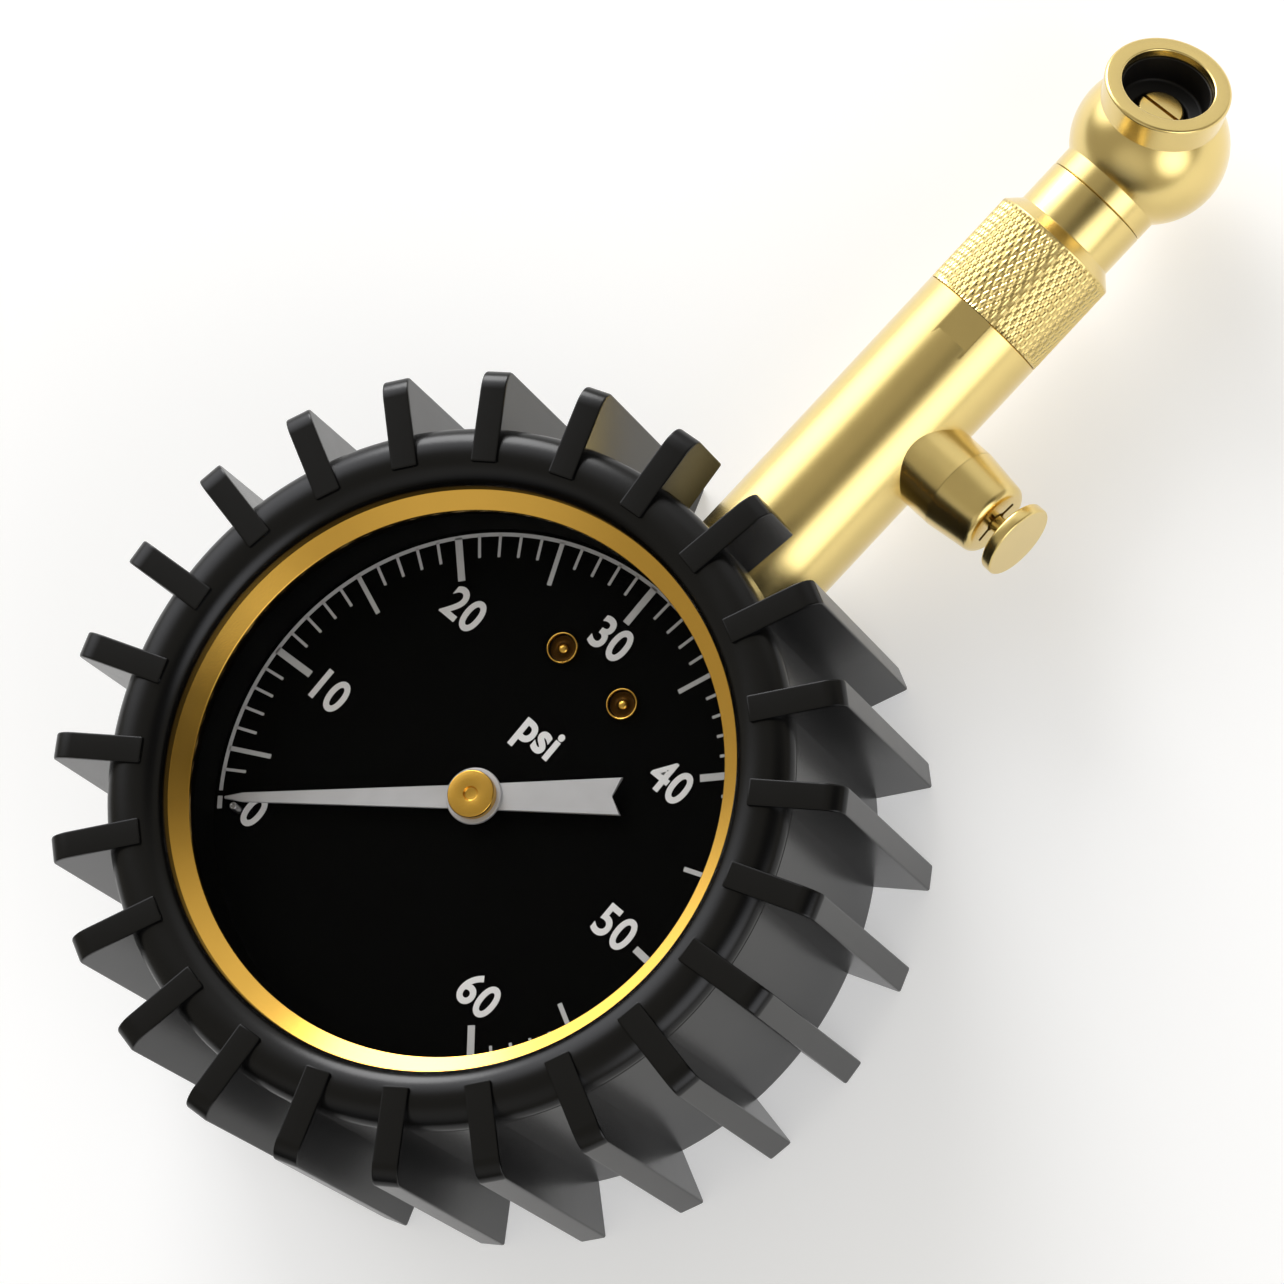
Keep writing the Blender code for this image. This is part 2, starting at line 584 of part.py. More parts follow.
def link_and_tube_end(tail_x, tail_y):
    """The link joins the tube's end piece to the sector's tail, with a loose hole at the tail."""
    pin = LINK_TUBE_PIN
    axis = pivot("link_axis", (*pin, LINK_Z[0]))
    dx, dy = tail_x - pin[0], tail_y - pin[1]
    length = sqrt(dx * dx + dy * dy)
    ux, uy = dx / length, dy / length
    eye = 1.3
    outline = []
    for centre, start in ((0.0, 90.0), (length, -90.0)):
        for i in range(9):
            angle = radians(start + 180.0 * i / 8)
            along, across = centre + eye * cos(angle), eye * sin(angle)
            outline.append((along * ux - across * uy, along * uy + across * ux))
    plate("link", [outline, circle(0.55, sides=12), circle(0.7, (dx, dy), 12)], *LINK_Z, STEEL,
          at=pin, holder=axis)

    end = TUBE_START + TUBE_SWEEP + 0.4
    points = [(19.3, end), (21.8, end), (21.8, end + 8.0), (18.4, end + 8.0), (16.7, end + 4.5),
              (16.7, end + 0.5)]
    outline = [(r * sin(radians(a)), r * cos(radians(a))) for r, a in points]
    plate("tube_end_piece", [outline, circle(0.48, pin, 12)], STEM_Z - 2.5, LINK_Z[0] - 0.2, BRASS)
    rod("link_pin_tube", 0.45, STEM_Z - 2.4, LINK_Z[1] + 0.4, STEEL, 12, at=(*pin, 0))


# ---- stem, bleed valve and check valve -------------------------------------------------------
def stem():
    y0, y1 = STEM_START, KNURL_START - SEAT
    on_axis = {"at": (0, 0, STEM_Z), "turn": ALONG_Y}
    profile = [(STEM_RADIUS, y1), (STEM_RADIUS, y0 + 0.3), (STEM_RADIUS - 0.3, y0), (4.8, y0),
               (4.8, 34.6), (2.5, 34.6), (2.5, 53.5), (4.2, 54.5), (4.2, y1)]
    body = turned("stem_body", profile, BRASS, ROUND, **on_axis)
    at_boss = {"at": (0, BLEED_Y, STEM_Z), "turn": ALONG_X}
    join(body, rod("boss", BLEED_RADIUS, 3.5, BLEED_SEAM_X, BRASS, MEDIUM, **at_boss))
    cut(body, rod("boss_bore", 2.6, 0.0, 12.0, BRASS, 20, **at_boss))

    x0, x1 = BLEED_SEAM_X + SEAT, BLEED_END_X
    cap = turned("bleed_valve_cap",
                 [(0.95, x1 - 0.1), (3.1, x1), *arc((2.9, x1 - 0.75), (0.75, 0.75), 70.0, 0.0, 3),
                  (BLEED_RADIUS, x0), (2.5, x0), (2.5, 5.8), (0.95, 5.8)],
                 BRASS, MEDIUM, **at_boss)
    for i, size in enumerate(((0.45, 4.6), (4.6, 0.45))):
        cut(cap, box(f"cap_slot_{i}", (x1 - 0.8, BLEED_Y - size[0] / 2, STEM_Z - size[1] / 2),
                     (x1 + 0.5, BLEED_Y + size[0] / 2, STEM_Z + size[1] / 2), BRASS))

    face = BUTTON_FACE_X
    turned("bleed_button",
           [(0.0, face), (3.3, face), (3.65, face - 0.35), (3.65, face - 0.9), (3.3, face - 1.25),
            (0.75, face - 1.25), (0.75, 5.0), (1.3, 5.0), (1.3, 4.2), (2.1, 4.2), (2.1, 3.4),
            (0.0, 3.4)], BRASS, 20, **at_boss)
    torus("bleed_o_ring", 1.78, 0.42, RUBBER, height=4.7, steps=20, **at_boss)
    wire("bleed_spring", helix(1.6, -1.9, 3.1, 5), 0.36, SPRING_STEEL, **at_boss)


def knurled_collar():
    """Collar, neck and swivel spigot, turned from one bar, with the check valve inside it."""
    on_axis = {"at": (0, 0, STEM_Z), "turn": ALONG_Y}
    profile = [(1.3, 82.0), (3.2, 82.0), (3.4, 81.8), (3.4, 81.4), (2.8, 81.4), (2.8, 80.8),
               (3.4, 80.8), (3.4, 80.0), (2.6, 80.0), (2.6, 79.0), (3.4, 79.0),
               (3.4, SWIVEL_Y - SEAT), (NECK_RADIUS, SWIVEL_Y - SEAT), (NECK_RADIUS, NECK_START),
               (STEM_RADIUS, KNURL_END), (STEM_RADIUS, KNURL_START), (4.1, KNURL_START),
               (4.1, 55.5), (3.2, 55.5), (3.2, 68.5), (1.3, 70.4)]
    turned("knurled_collar", profile, BRASS, ROUND, **on_axis)
    turned("check_valve_poppet", [(0.0, 69.3), (1.2, 69.3), (2.4, 68.1), (2.4, 66.6), (0.8, 66.6),
                                  (0.8, 60.0), (0.0, 60.0)], BRASS, 20, **on_axis)
    wire("check_valve_spring", helix(1.9, 58.4, 66.2, 5), 0.4, SPRING_STEEL, **on_axis)
    ring("check_valve_retainer", 1.1, 3.1, 56.0, 58.0, BRASS, 20, **on_axis)
    torus("swivel_o_ring", 3.05, 0.4, RUBBER, height=79.5, steps=24, **on_axis)
    clip = []
    for radius, order in ((3.62, 1), (2.9, -1)):
        clip += [(radius, radians(20 + 320 * i / 20)) for i in range(21)][::order]
    low, high = CLIP_Y
    made = plate("swivel_clip", [polar(clip)], low, high, SPRING_STEEL)
    made.location = Vector((0, (low + high) / 2, STEM_Z)) * MM
    made.rotation_euler = ALONG_Y


# ---- swivel head -----------------------------------------------------------------------------
def swivel_head():
    axis = pivot("swivel_axis", (0, SWIVEL_Y, STEM_Z))
    on_axis = {"at": (0, 0, STEM_Z), "turn": ALONG_Y, "holder": axis}
    neck = NECK_RADIUS
    junction = BALL_Y - sqrt(BALL_RADIUS ** 2 - neck ** 2)
    start = degrees(acos((BALL_Y - junction) / BALL_RADIUS)) - 90.0
    sphere = arc((0.0, BALL_Y), (BALL_RADIUS, BALL_RADIUS), 90.0, start, 12)
    sphere[0] = (0.0, sphere[0][1])
    profile = [*sphere, (neck, SWIVEL_Y), (3.5, SWIVEL_Y), (3.5, 80.8), (3.75, 80.8), (3.75, 81.4),
               (3.5, 81.4), (3.5, 83.0), (0.0, 84.0)]
    head = turned("ball_head", profile, BRASS, ROUND, **on_axis)
    at_chuck = {"at": (0, BALL_Y, STEM_Z), "turn": ALONG_CHUCK, "holder": axis}
    cut(head, rod("nozzle_bore", 4.7, 2.3, 9.0, BRASS, MEDIUM, **at_chuck))
    cut(head, rod("head_passage", 1.2, -1.5, 3.0, BRASS, 12, **at_chuck))

    lip = MOUTH_DISTANCE
    skirt = lip - 2.75
    turned("chuck_nozzle",
           [(MOUTH_BORE + 0.15, lip), (MOUTH_RADIUS - 0.4, lip), (MOUTH_RADIUS - 0.1, lip - 0.12),
            (MOUTH_RADIUS, lip - 0.4), (MOUTH_RADIUS - 0.2, skirt), (5.22, skirt),
            (4.6, skirt + 0.48), (4.6, 2.4), (MOUTH_BORE, 2.4), (MOUTH_BORE, lip - 0.15)],
           BRASS, ROUND, **at_chuck)
    ring("chuck_seal", 2.5, MOUTH_BORE - 0.08, 2.45, 4.3, RUBBER, MEDIUM, **at_chuck)
    pin = turned("core_depressor",
                 [(0.0, PIN_TOP), (1.85, PIN_TOP), (2.1, PIN_TOP - 0.25), (2.1, 2.4), (1.0, 2.4),
                  (1.0, 1.2), (0.0, 1.2)], BRASS, 24, **at_chuck)
    slot = box("depressor_slot", (-3.0, -0.3, PIN_TOP - 0.6), (3.0, 0.3, PIN_TOP + 0.5), BRASS)
    ball_centre = Vector((0, BALL_Y, STEM_Z)) * MM
    to_chuck = Matrix.Translation(ball_centre) @ Matrix.Rotation(ALONG_CHUCK[0], 4, 'X')
    across = Matrix.Rotation(radians(PIN_SLOT_ANGLE), 4, 'Z')
    slot.matrix_basis = to_chuck @ across @ Matrix.Translation(slot.location)
    cut(pin, slot)


rubber_boot()
case_and_window()
dial()
socket()
bourdon_tube()
movement_plates()
pointer_set()
hairspring()
link_and_tube_end(*sector())
stem()
knurled_collar()
swivel_head()
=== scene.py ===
"""Looks of a dial tyre-pressure gauge: rubber boot, gold bezel, printed dial, satin brass stem and chuck.

Sizes are in millimetres unless a name says otherwise, and MM turns them into metres. The gauge lies
on its back: +Z is the dial's normal, +Y runs along the stem, the origin is at the boot's back.
"""
import json
from math import asin, atan2, cos, degrees, pi, radians, sin, tan

import bmesh
import bpy
from mathutils import Matrix, Vector


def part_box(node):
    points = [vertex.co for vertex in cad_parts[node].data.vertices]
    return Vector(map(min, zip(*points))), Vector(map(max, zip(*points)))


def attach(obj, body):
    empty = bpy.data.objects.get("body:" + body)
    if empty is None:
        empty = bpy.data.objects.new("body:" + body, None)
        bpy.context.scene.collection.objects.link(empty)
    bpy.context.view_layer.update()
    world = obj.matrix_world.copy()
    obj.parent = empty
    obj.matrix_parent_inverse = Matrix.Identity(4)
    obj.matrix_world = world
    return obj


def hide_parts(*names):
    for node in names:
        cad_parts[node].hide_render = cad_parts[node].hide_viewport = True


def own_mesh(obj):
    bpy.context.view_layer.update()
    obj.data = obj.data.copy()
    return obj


MM = 0.001
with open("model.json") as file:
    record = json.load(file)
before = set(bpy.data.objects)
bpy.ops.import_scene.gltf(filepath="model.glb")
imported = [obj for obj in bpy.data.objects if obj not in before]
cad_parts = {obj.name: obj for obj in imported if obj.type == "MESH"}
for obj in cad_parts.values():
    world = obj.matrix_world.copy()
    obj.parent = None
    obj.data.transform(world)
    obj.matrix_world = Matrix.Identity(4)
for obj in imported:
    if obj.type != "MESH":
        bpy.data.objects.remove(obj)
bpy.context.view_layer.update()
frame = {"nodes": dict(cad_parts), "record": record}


# ---- sizes -----------------------------------------------------------------------------------
def low(node, axis):
    """Where a CAD node begins along an axis, in millimetres. high() says where it ends."""
    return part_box(node)[0]["xyz".index(axis)] / MM


def high(node, axis):
    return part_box(node)[1]["xyz".index(axis)] / MM


LUG_FRONT_Z = high("rubber_boot", "z")
LUG_TIP_RADIUS = 36.24
LUG_INNER_RADIUS = 27.7
LUG_COUNT = 24
LUG_THICKNESS = 2.4
LUG_CORNER = (1.9, 1.4)      # rounding of the front corner, along the radius and along Z
LUG_ROOT_DEPTH = 1.4         # how far a lug reaches into the boot's wall
LUG_EDGE = 0.2
SHORT_LUG_BACK_Z = 23.4      # the two lugs beside the stem end here
BOOT_RADIUS = 31.2
BOOT_FLOOR = 2.5
BOOT_EDGE = 0.6
POCKET_LEDGE_Z = 22.0        # the boot's pocket is wider in front of this, for the bezel
RIM_TOP_Z = 31.35
CREASE_Z = 29.4
WINDOW_HALF_WIDTH = 9.9      # the gap over the stem
WINDOW_TOP_Z = 25.2
WINDOW_Y = (18.0, 34.0)      # the stretch of the cutter that opens it

BEZEL_Z = high("bezel_ring", "z")
BEZEL_RADIUS = high("bezel_ring", "x")
BEZEL_INNER_RADIUS = 24.36
BEZEL_FACE_RADIUS = 26.0
BEZEL_SLOPE = 0.91           # how far the visible face falls towards the lens
BEZEL_LIP = 0.5
BEZEL_WALL = 0.6

DIAL_TOP_Z = high("dial_plate", "z")
SCALE_START = -129.3         # angles on the dial run clockwise from the stem's direction
SCALE_ZERO = -143.36         # where 0 psi would be on the even part of the scale
DEGREES_PER_PSI = 4.662
FIRST_TICK_PSI = 4
SCALE_END_PSI = 60
DIAL_TURN = -3.5             # the print is turned on the dial, so its upright is not the stem's
ARC_RADIUS = 24.18
ARC_WIDTH = 0.34
DASH = (-133.2, -130.5)      # a short dash just before the scale's start
DASH_WIDTH = 0.44
TICKS = (                    # at every so many psi, inner radius, width
    (10, 20.16, 0.66),
    (5, 20.1, 0.42),
    (1, 22.1, 0.26),
)
PRINT_THICKNESS = 0.03

POINTER_REST = 131.5         # degrees anticlockwise from the stem's direction
POINTER_TIP = 23.3
POINTER_TAPER = 1.7          # the last stretch of the blade narrows faster
POINTER_TAIL = 13.4
POINTER_NOTCH = 0.9
STOP_PIN_RADIUS = 22.4
STOP_PIN_PAST = 2.1          # degrees past the pointer at rest, away from the scale
DIAL_SCREW = (3.87, 14.75)   # the middle of the right-hand one

STEM_Z = (high("stem_body", "z") + low("stem_body", "z")) / 2
STEM_RADIUS = high("stem_body", "z") - STEM_Z
STEM_START = low("stem_body", "y")
STEM_END = high("stem_body", "y")
SHANK_BORE = (4.8, 34.6)     # radius of the bore for the case's shank, and where it ends
PASSAGE = (2.5, 53.5)        # radius and end
COLLAR_BORE = (4.2, 54.5)    # radius of the bore for the collar, and where it starts
FLAT_START = 58.15           # a small wrench flat on the stem, next to the knurl
FLAT_ANGLE = radians(12.0)
FLAT_HALF_ANGLE = radians(15.0)
BLEED_Y = 49.0
BLEED_RADIUS = 4.15
BLEED_SEAM_X = 9.2
BLEED_END_X = 13.9
BUTTON_X = high("bleed_button", "x")
CAP_SLOT = (0.5, 4.4, 1.6)

KNURL_START = 61.45
KNURL_END = 70.8
KNURLS_ROUND = 54
KNURLS_LONG = 6
KNURL_CELLS = 6              # mesh cells along each side of one diamond
KNURL_DEPTH = 0.13
GROOVE_HALF_WIDTH = 1.5      # in cells
NECK_START = 72.05
NECK_RADIUS = 5.05
SPIGOT = (3.4, 79.0)         # radius inside the ball head, and where the detailed collar stops
THREAD = (4.1, 55.5)         # radius of the collar's hidden end in the stem, and where it starts
VALVE_BORE = (3.2, 68.5)     # radius and end
OUTLET = (1.3, 70.4)         # radius and start

SWIVEL_Y = low("ball_head", "y")
BALL_Y = 83.25
BALL_RADIUS = 7.2
CHUCK_ANGLE = 56.0
MOUTH_DISTANCE = 7.87        # of the chuck's lip from the ball's centre, as its other heights are
MOUTH_RADIUS = 5.78
MOUTH_BORE = 4.18
CHUCK_FLOOR = 2.4
PIN_TOP = 4.75
SLOT_TURN = radians(4.0)

BLEED_SPRING = (1.6, 0.36, -1.9, 3.1)     # radius, wire, start and end
CHECK_SPRING = (1.9, 0.4, 58.4, 66.2)
SPRING_TURNS = 5
SPRING_STEPS = 24            # mesh steps in a turn
SPRING_SIDES = 8

UPRIGHT = Matrix.Identity(4)
ON_STEM = Matrix.Translation(Vector((0, 0, STEM_Z)) * MM) @ Matrix.Rotation(-pi / 2, 4, 'X')
ON_BLEED = Matrix.Translation(Vector((0, BLEED_Y, STEM_Z)) * MM) @ Matrix.Rotation(pi / 2, 4, 'Y')
ON_CHUCK = (Matrix.Translation(Vector((0, BALL_Y, STEM_Z)) * MM)
            @ Matrix.Rotation(-radians(90.0 - CHUCK_ANGLE), 4, 'X'))

# ---- camera ----------------------------------------------------------------------------------
CAMERA_TARGET = Vector((4.39, 19.97, 28.6)) * MM
CAMERA_DISTANCE = 558.7 * MM
CAMERA_TILT = radians(21.76)      # from straight above, towards the bleed button
CAMERA_BEARING = radians(0.95)
CAMERA_ROLL = radians(43.02)      # the stem points this far clockwise of the picture's up
LENS_MM = 181.33


def camera():
    back = Vector((sin(CAMERA_TILT) * cos(CAMERA_BEARING), sin(CAMERA_TILT) * sin(CAMERA_BEARING),
                   cos(CAMERA_TILT)))
    stem = Vector((0, 1, 0))
    level = (stem - back * stem.dot(back)).normalized()
    up = Matrix.Rotation(CAMERA_ROLL, 3, back) @ level
    right = up.cross(back)
    data = bpy.data.cameras.new("camera")
    data.lens = LENS_MM
    data.clip_start = 0.01
    made = bpy.data.objects.new("camera", data)
    bpy.context.scene.collection.objects.link(made)
    made.matrix_world = Matrix.Translation(CAMERA_TARGET + back * CAMERA_DISTANCE) @ Matrix(
        (right, up, back)).transposed().to_4x4()
    bpy.context.scene.camera = made


# ---- lights and floor ------------------------------------------------------------------------
def add(tree, kind, **inputs):
    node = tree.nodes.new(kind)
    for name, value in inputs.items():
        node.inputs[name].default_value = value
    return node


def math_node(tree, operation, *values):
    """Each value is a number or another node's output."""
    node = tree.nodes.new("ShaderNodeMath")
    node.operation = operation
    for socket, value in zip(node.inputs, values):
        if isinstance(value, (int, float)):
            socket.default_value = value
        else:
            tree.links.new(value, socket)
    return node.outputs[0]


SKY_LEVEL = 0.4
WHITE_PANELS = (             # direction, half width in degrees, strength
    ((-1.0, 0.2, 0.55), 38, 2.3),
    ((1.0, 0.05, 0.55), 31, 2.1),
    ((-0.35, 0.85, 0.4), 34, 0.45),
    ((0.25, -0.75, 0.65), 34, 0.3),
)
DARK_CARDS = (
    ((0.48, 0.4, 0.8), 32, -0.34),
    ((0.2, -1.0, 0.05), 42, -0.36),
)
SKY_COLOUR = (1.0, 0.94, 0.80, 1.0)
PANEL_COLOUR = (0.98, 1.0, 1.07, 1.0)
KEY_LIGHT_DIRECTION = (-0.81, 0.5, 0.4)
KEY_LIGHT_DISTANCE = 0.9     # in metres, like its size and the floor's radii
KEY_LIGHT_SIZE = 0.45
KEY_LIGHT_WATTS = 4.0
FLOOR_SIZE = 3.0
FLOOR_GLOW = 0.42
FLOOR_LIT_RADIUS = 0.16      # past this the floor falls away to grey
FLOOR_GREY_RADIUS = 0.45
FLOOR_LIT = 0.66             # the floor's painted brightness inside the first, and past the second: a painted pool of light round the gauge
FLOOR_GREY = 0.3
FLOOR_GAP = 0.1              # in millimetres, keeps the floor off the boot's flat back


def soft_spots(tree, place, level, spots):
    """The brightness of the sky by direction: an even level, with soft round spots."""
    total = level
    for direction, width, strength in spots:
        facing = tree.nodes.new("ShaderNodeVectorMath")
        facing.operation = 'DOT_PRODUCT'
        facing.inputs[1].default_value = Vector(direction).normalized()
        tree.links.new(place, facing.inputs[0])
        ramp = tree.nodes.new("ShaderNodeMapRange")
        ramp.interpolation_type = 'SMOOTHSTEP'
        ramp.inputs["From Min"].default_value = cos(radians(width))
        ramp.inputs["From Max"].default_value = 1.0
        ramp.inputs["To Max"].default_value = strength
        tree.links.new(facing.outputs["Value"], ramp.inputs["Value"])
        total = math_node(tree, 'ADD', ramp.outputs["Result"], total)
    return math_node(tree, 'MAXIMUM', total, 0.0)


def sky():
    """A plain studio: a warm even sky with dark cards, and cooler white panels at its sides."""
    world = bpy.data.worlds.new("studio")
    bpy.context.scene.world = world
    world.use_nodes = True
    tree = world.node_tree
    place = tree.nodes.new("ShaderNodeTexCoord").outputs["Generated"]
    room = tree.nodes["Background"]
    room.inputs["Color"].default_value = SKY_COLOUR
    tree.links.new(soft_spots(tree, place, SKY_LEVEL, DARK_CARDS), room.inputs["Strength"])
    panels = add(tree, "ShaderNodeBackground", Color=PANEL_COLOUR)
    tree.links.new(soft_spots(tree, place, 0.0, WHITE_PANELS), panels.inputs["Strength"])
    both = tree.nodes.new("ShaderNodeAddShader")
    tree.links.new(room.outputs["Background"], both.inputs[0])
    tree.links.new(panels.outputs["Background"], both.inputs[1])
    tree.links.new(both.outputs["Shader"], tree.nodes["World Output"].inputs["Surface"])


def key_light():
    """A round soft light, low on the side away from the bleed button."""
    data = bpy.data.lights.new("key_light", 'AREA')
    data.shape = 'DISK'
    data.size = KEY_LIGHT_SIZE
    data.energy = KEY_LIGHT_WATTS
    made = bpy.data.objects.new("key_light", data)
    bpy.context.scene.collection.objects.link(made)
    aim = Vector(KEY_LIGHT_DIRECTION).normalized()
    made.location = CAMERA_TARGET + aim * KEY_LIGHT_DISTANCE
    made.rotation_euler = aim.to_track_quat('Z', 'Y').to_euler()


def floor_material():
    """A plain pale floor with a painted pool of light: white round the gauge and falling away to grey."""
    pale = bpy.data.materials.new("pale_floor")
    pale.use_nodes = True
    tree = pale.node_tree
    shader = tree.nodes["Principled BSDF"]
    shader.inputs["Roughness"].default_value = 0.9
    shader.inputs["Emission Color"].default_value = (1.0, 1.0, 1.0, 1.0)
    shader.inputs["Emission Strength"].default_value = FLOOR_GLOW
    away = tree.nodes.new("ShaderNodeVectorMath")
    away.operation = 'LENGTH'
    tree.links.new(tree.nodes.new("ShaderNodeTexCoord").outputs["Object"], away.inputs[0])
    fade = tree.nodes.new("ShaderNodeMapRange")
    fade.interpolation_type = 'SMOOTHSTEP'
    fade.inputs["From Min"].default_value = FLOOR_LIT_RADIUS
    fade.inputs["From Max"].default_value = FLOOR_GREY_RADIUS
    fade.inputs["To Min"].default_value = FLOOR_LIT
    fade.inputs["To Max"].default_value = FLOOR_GREY
    tree.links.new(away.outputs["Value"], fade.inputs["Value"])
    tree.links.new(fade.outputs["Result"], shader.inputs["Base Color"])
    return pale


def floor():
    mesh = bpy.data.meshes.new("floor")
    solid = bmesh.new()
    bmesh.ops.create_grid(solid, x_segments=1, y_segments=1, size=FLOOR_SIZE)
    solid.to_mesh(mesh)
    solid.free()
    mesh.materials.append(floor_material())
    made = bpy.data.objects.new("floor", mesh)
    bpy.context.scene.collection.objects.link(made)
    made.location.z = -FLOOR_GAP * MM


# ---- materials -------------------------------------------------------------------------------
CLOUD_SCALE = 0.35           # of the soft variation: cycles in a millimetre


def surface(name, colour, roughness, metallic=0.0, grain=0.0, grain_size=0.1, stretch=(1, 1, 1),
            vary=0.06, spread=0.08, **sockets):
    """A finish whose colour and roughness vary softly, with a fine grain as bump. Grain is its depth
    and grain_size its width, in millimetres. Vary is the colour's share of change and spread the
    roughness's amount. Sockets are further inputs of the shader, with _ for a space."""
    made = bpy.data.materials.new(name)
    made.use_nodes = True
    tree = made.node_tree
    shader = tree.nodes["Principled BSDF"]
    shader.inputs["Metallic"].default_value = metallic
    for socket, value in sockets.items():
        shader.inputs[socket.replace("_", " ")].default_value = value
    place = tree.nodes.new("ShaderNodeTexCoord").outputs["Object"]
    in_mm = tree.nodes.new("ShaderNodeMapping")
    in_mm.inputs["Scale"].default_value = [share / MM for share in stretch]
    tree.links.new(place, in_mm.inputs["Vector"])
    cloud = add(tree, "ShaderNodeTexNoise", Scale=CLOUD_SCALE, Detail=3.0)
    fine = add(tree, "ShaderNodeTexNoise", Scale=1.0 / grain_size, Detail=2.0)
    for node in (cloud, fine):
        tree.links.new(in_mm.outputs["Vector"], node.inputs["Vector"])

    tint = tree.nodes.new("ShaderNodeMix")
    tint.data_type = 'RGBA'
    tint.inputs["A"].default_value = (*[c * (1 - vary) for c in colour], 1.0)
    tint.inputs["B"].default_value = (*[min(c * (1 + vary), 1.0) for c in colour], 1.0)
    tree.links.new(cloud.outputs["Fac"], tint.inputs["Factor"])
    tree.links.new(tint.outputs["Result"], shader.inputs["Base Color"])

    both = math_node(tree, 'ADD', cloud.outputs["Fac"], fine.outputs["Fac"])
    dullness = math_node(tree, 'MULTIPLY_ADD', both, spread, roughness - spread)
    tree.links.new(dullness, shader.inputs["Roughness"])

    if grain > 0.0:
        bump = add(tree, "ShaderNodeBump", Strength=1.0, Distance=grain * MM)
        tree.links.new(fine.outputs["Fac"], bump.inputs["Height"])
        tree.links.new(bump.outputs["Normal"], shader.inputs["Normal"])
    return made


def materials():
    return {
        "boot_rubber": surface("moulded_rubber", (0.0015, 0.0015, 0.0017), 0.25, grain=0.0025,
                               grain_size=0.22, spread=0.04, Specular_IOR_Level=0.3),
        "bezel_gold": surface("satin_gold", (0.80, 0.47, 0.085), 0.25, 1.0, grain=0.003,
                              grain_size=0.14, vary=0.05, spread=0.05),
        "satin_brass": surface("satin_brass", (0.82, 0.63, 0.235), 0.25, 1.0, grain=0.0018,
                               grain_size=0.12, vary=0.04, spread=0.05, Coat_Weight=0.6,
                               Coat_Roughness=0.2),
        # painted shade: this dark metal is put in the screws' hollows to stand in for the shade inside
        # them
        "screw_hollow_shade": surface("screw_hollow_shade", (0.05, 0.022, 0.004), 0.3, 1.0, grain=0.001,
                                 grain_size=0.1),
        "steel": surface("plain_steel", (0.55, 0.55, 0.56), 0.32, 1.0, grain=0.001, grain_size=0.1,
                         stretch=(1, 1, 12)),
        "pointer_silver": surface("pointer_silver", (0.56, 0.56, 0.57), 0.5, 0.35, grain=0.003,
                                  grain_size=0.09, vary=0.12),
        "dial_black": surface("dial_black", (0.0008, 0.0008, 0.0008), 0.45, grain=0.0005,
                              grain_size=0.15, Specular_IOR_Level=0.02),
        "dial_print": surface("dial_print", (0.66, 0.66, 0.66), 0.6, grain=0.002, grain_size=0.06),
        "numeral_print": surface("numeral_print", (0.95, 0.95, 0.95), 0.6, grain=0.002,
                                 grain_size=0.06, vary=0.03),
        "spacer_black": surface("spacer_black", (0.0008, 0.0008, 0.0008), 0.6, grain=0.001,
                                Specular_IOR_Level=0.04),
        "lens_clear": surface("clear_lens", (0.0, 0.0, 0.0), 0.04, spread=0.01, Alpha=0.03),
        # partly a black paint on the case, partly painted shade: it makes the gap over the stem read dark
        "case_black_and_gap_shade": surface("case_black_and_gap_shade", (0.008, 0.008, 0.009), 0.32, grain=0.003,
                              grain_size=0.3, Specular_IOR_Level=0.4),
        "seal_rubber": surface("seal_rubber", (0.006, 0.0055, 0.0055), 0.5, grain=0.003,
                               Specular_IOR_Level=0.25),
        "spring_steel": surface("spring_steel", (0.45, 0.45, 0.47), 0.28, 1.0, grain=0.0005),
    }


# ---- modelling helpers -----------------------------------------------------------------------
def rounded(corners, segments=4):
    """Profile points. Each corner is (radius, height, rounding): its arc touches both its sides."""
    points = []
    count = len(corners)
    for i, (r, z, size) in enumerate(corners):
        here = Vector((r, z))
        if size == 0.0:
            points.append((r, z))
            continue
        before = (Vector(corners[i - 1][:2]) - here).normalized()
        after = (Vector(corners[(i + 1) % count][:2]) - here).normalized()
        half = before.angle(after) / 2
        centre = here + (before + after).normalized() * size / sin(half)
        start = here + before * size / tan(half) - centre
        end = here + after * size / tan(half) - centre
        sweep = atan2(start.x * end.y - start.y * end.x, start.dot(end))
        for k in range(segments + 1):
            turn = sweep * k / segments
            points.append((centre.x + start.x * cos(turn) - start.y * sin(turn),
                           centre.y + start.x * sin(turn) + start.y * cos(turn)))
    return points


def arc(centre, radii, start, end, steps):
    """Points on an elliptical arc between two angles in degrees, both ends included."""
    points = []
    for i in range(steps + 1):
        angle = radians(start + (end - start) * i / steps)
        points.append((centre[0] + radii[0] * cos(angle), centre[1] + radii[1] * sin(angle)))
    return points


def rows(start, end, count):
    """Points that divide a straight run of a profile, without its ends."""
    return [(start[0] + (end[0] - start[0]) * i / count, start[1] + (end[1] - start[1]) * i / count)
            for i in range(1, count)]


def new_object(name, solid, matrix=UPRIGHT):
    """Makes an object of a bmesh, with its faces pointing out."""
    bmesh.ops.recalc_face_normals(solid, faces=solid.faces)
    mesh = bpy.data.meshes.new(name)
    solid.to_mesh(mesh)
    solid.free()
    made = bpy.data.objects.new(name, mesh)
    bpy.context.scene.collection.objects.link(made)
    made.matrix_world = matrix
    return made


def skin(solid, first, second):
    """Closes the gap between two loops of as many points with a ring of faces."""
    for i in range(len(first)):
        j = (i + 1) % len(first)
        solid.faces.new((first[i], first[j], second[j], second[i]))


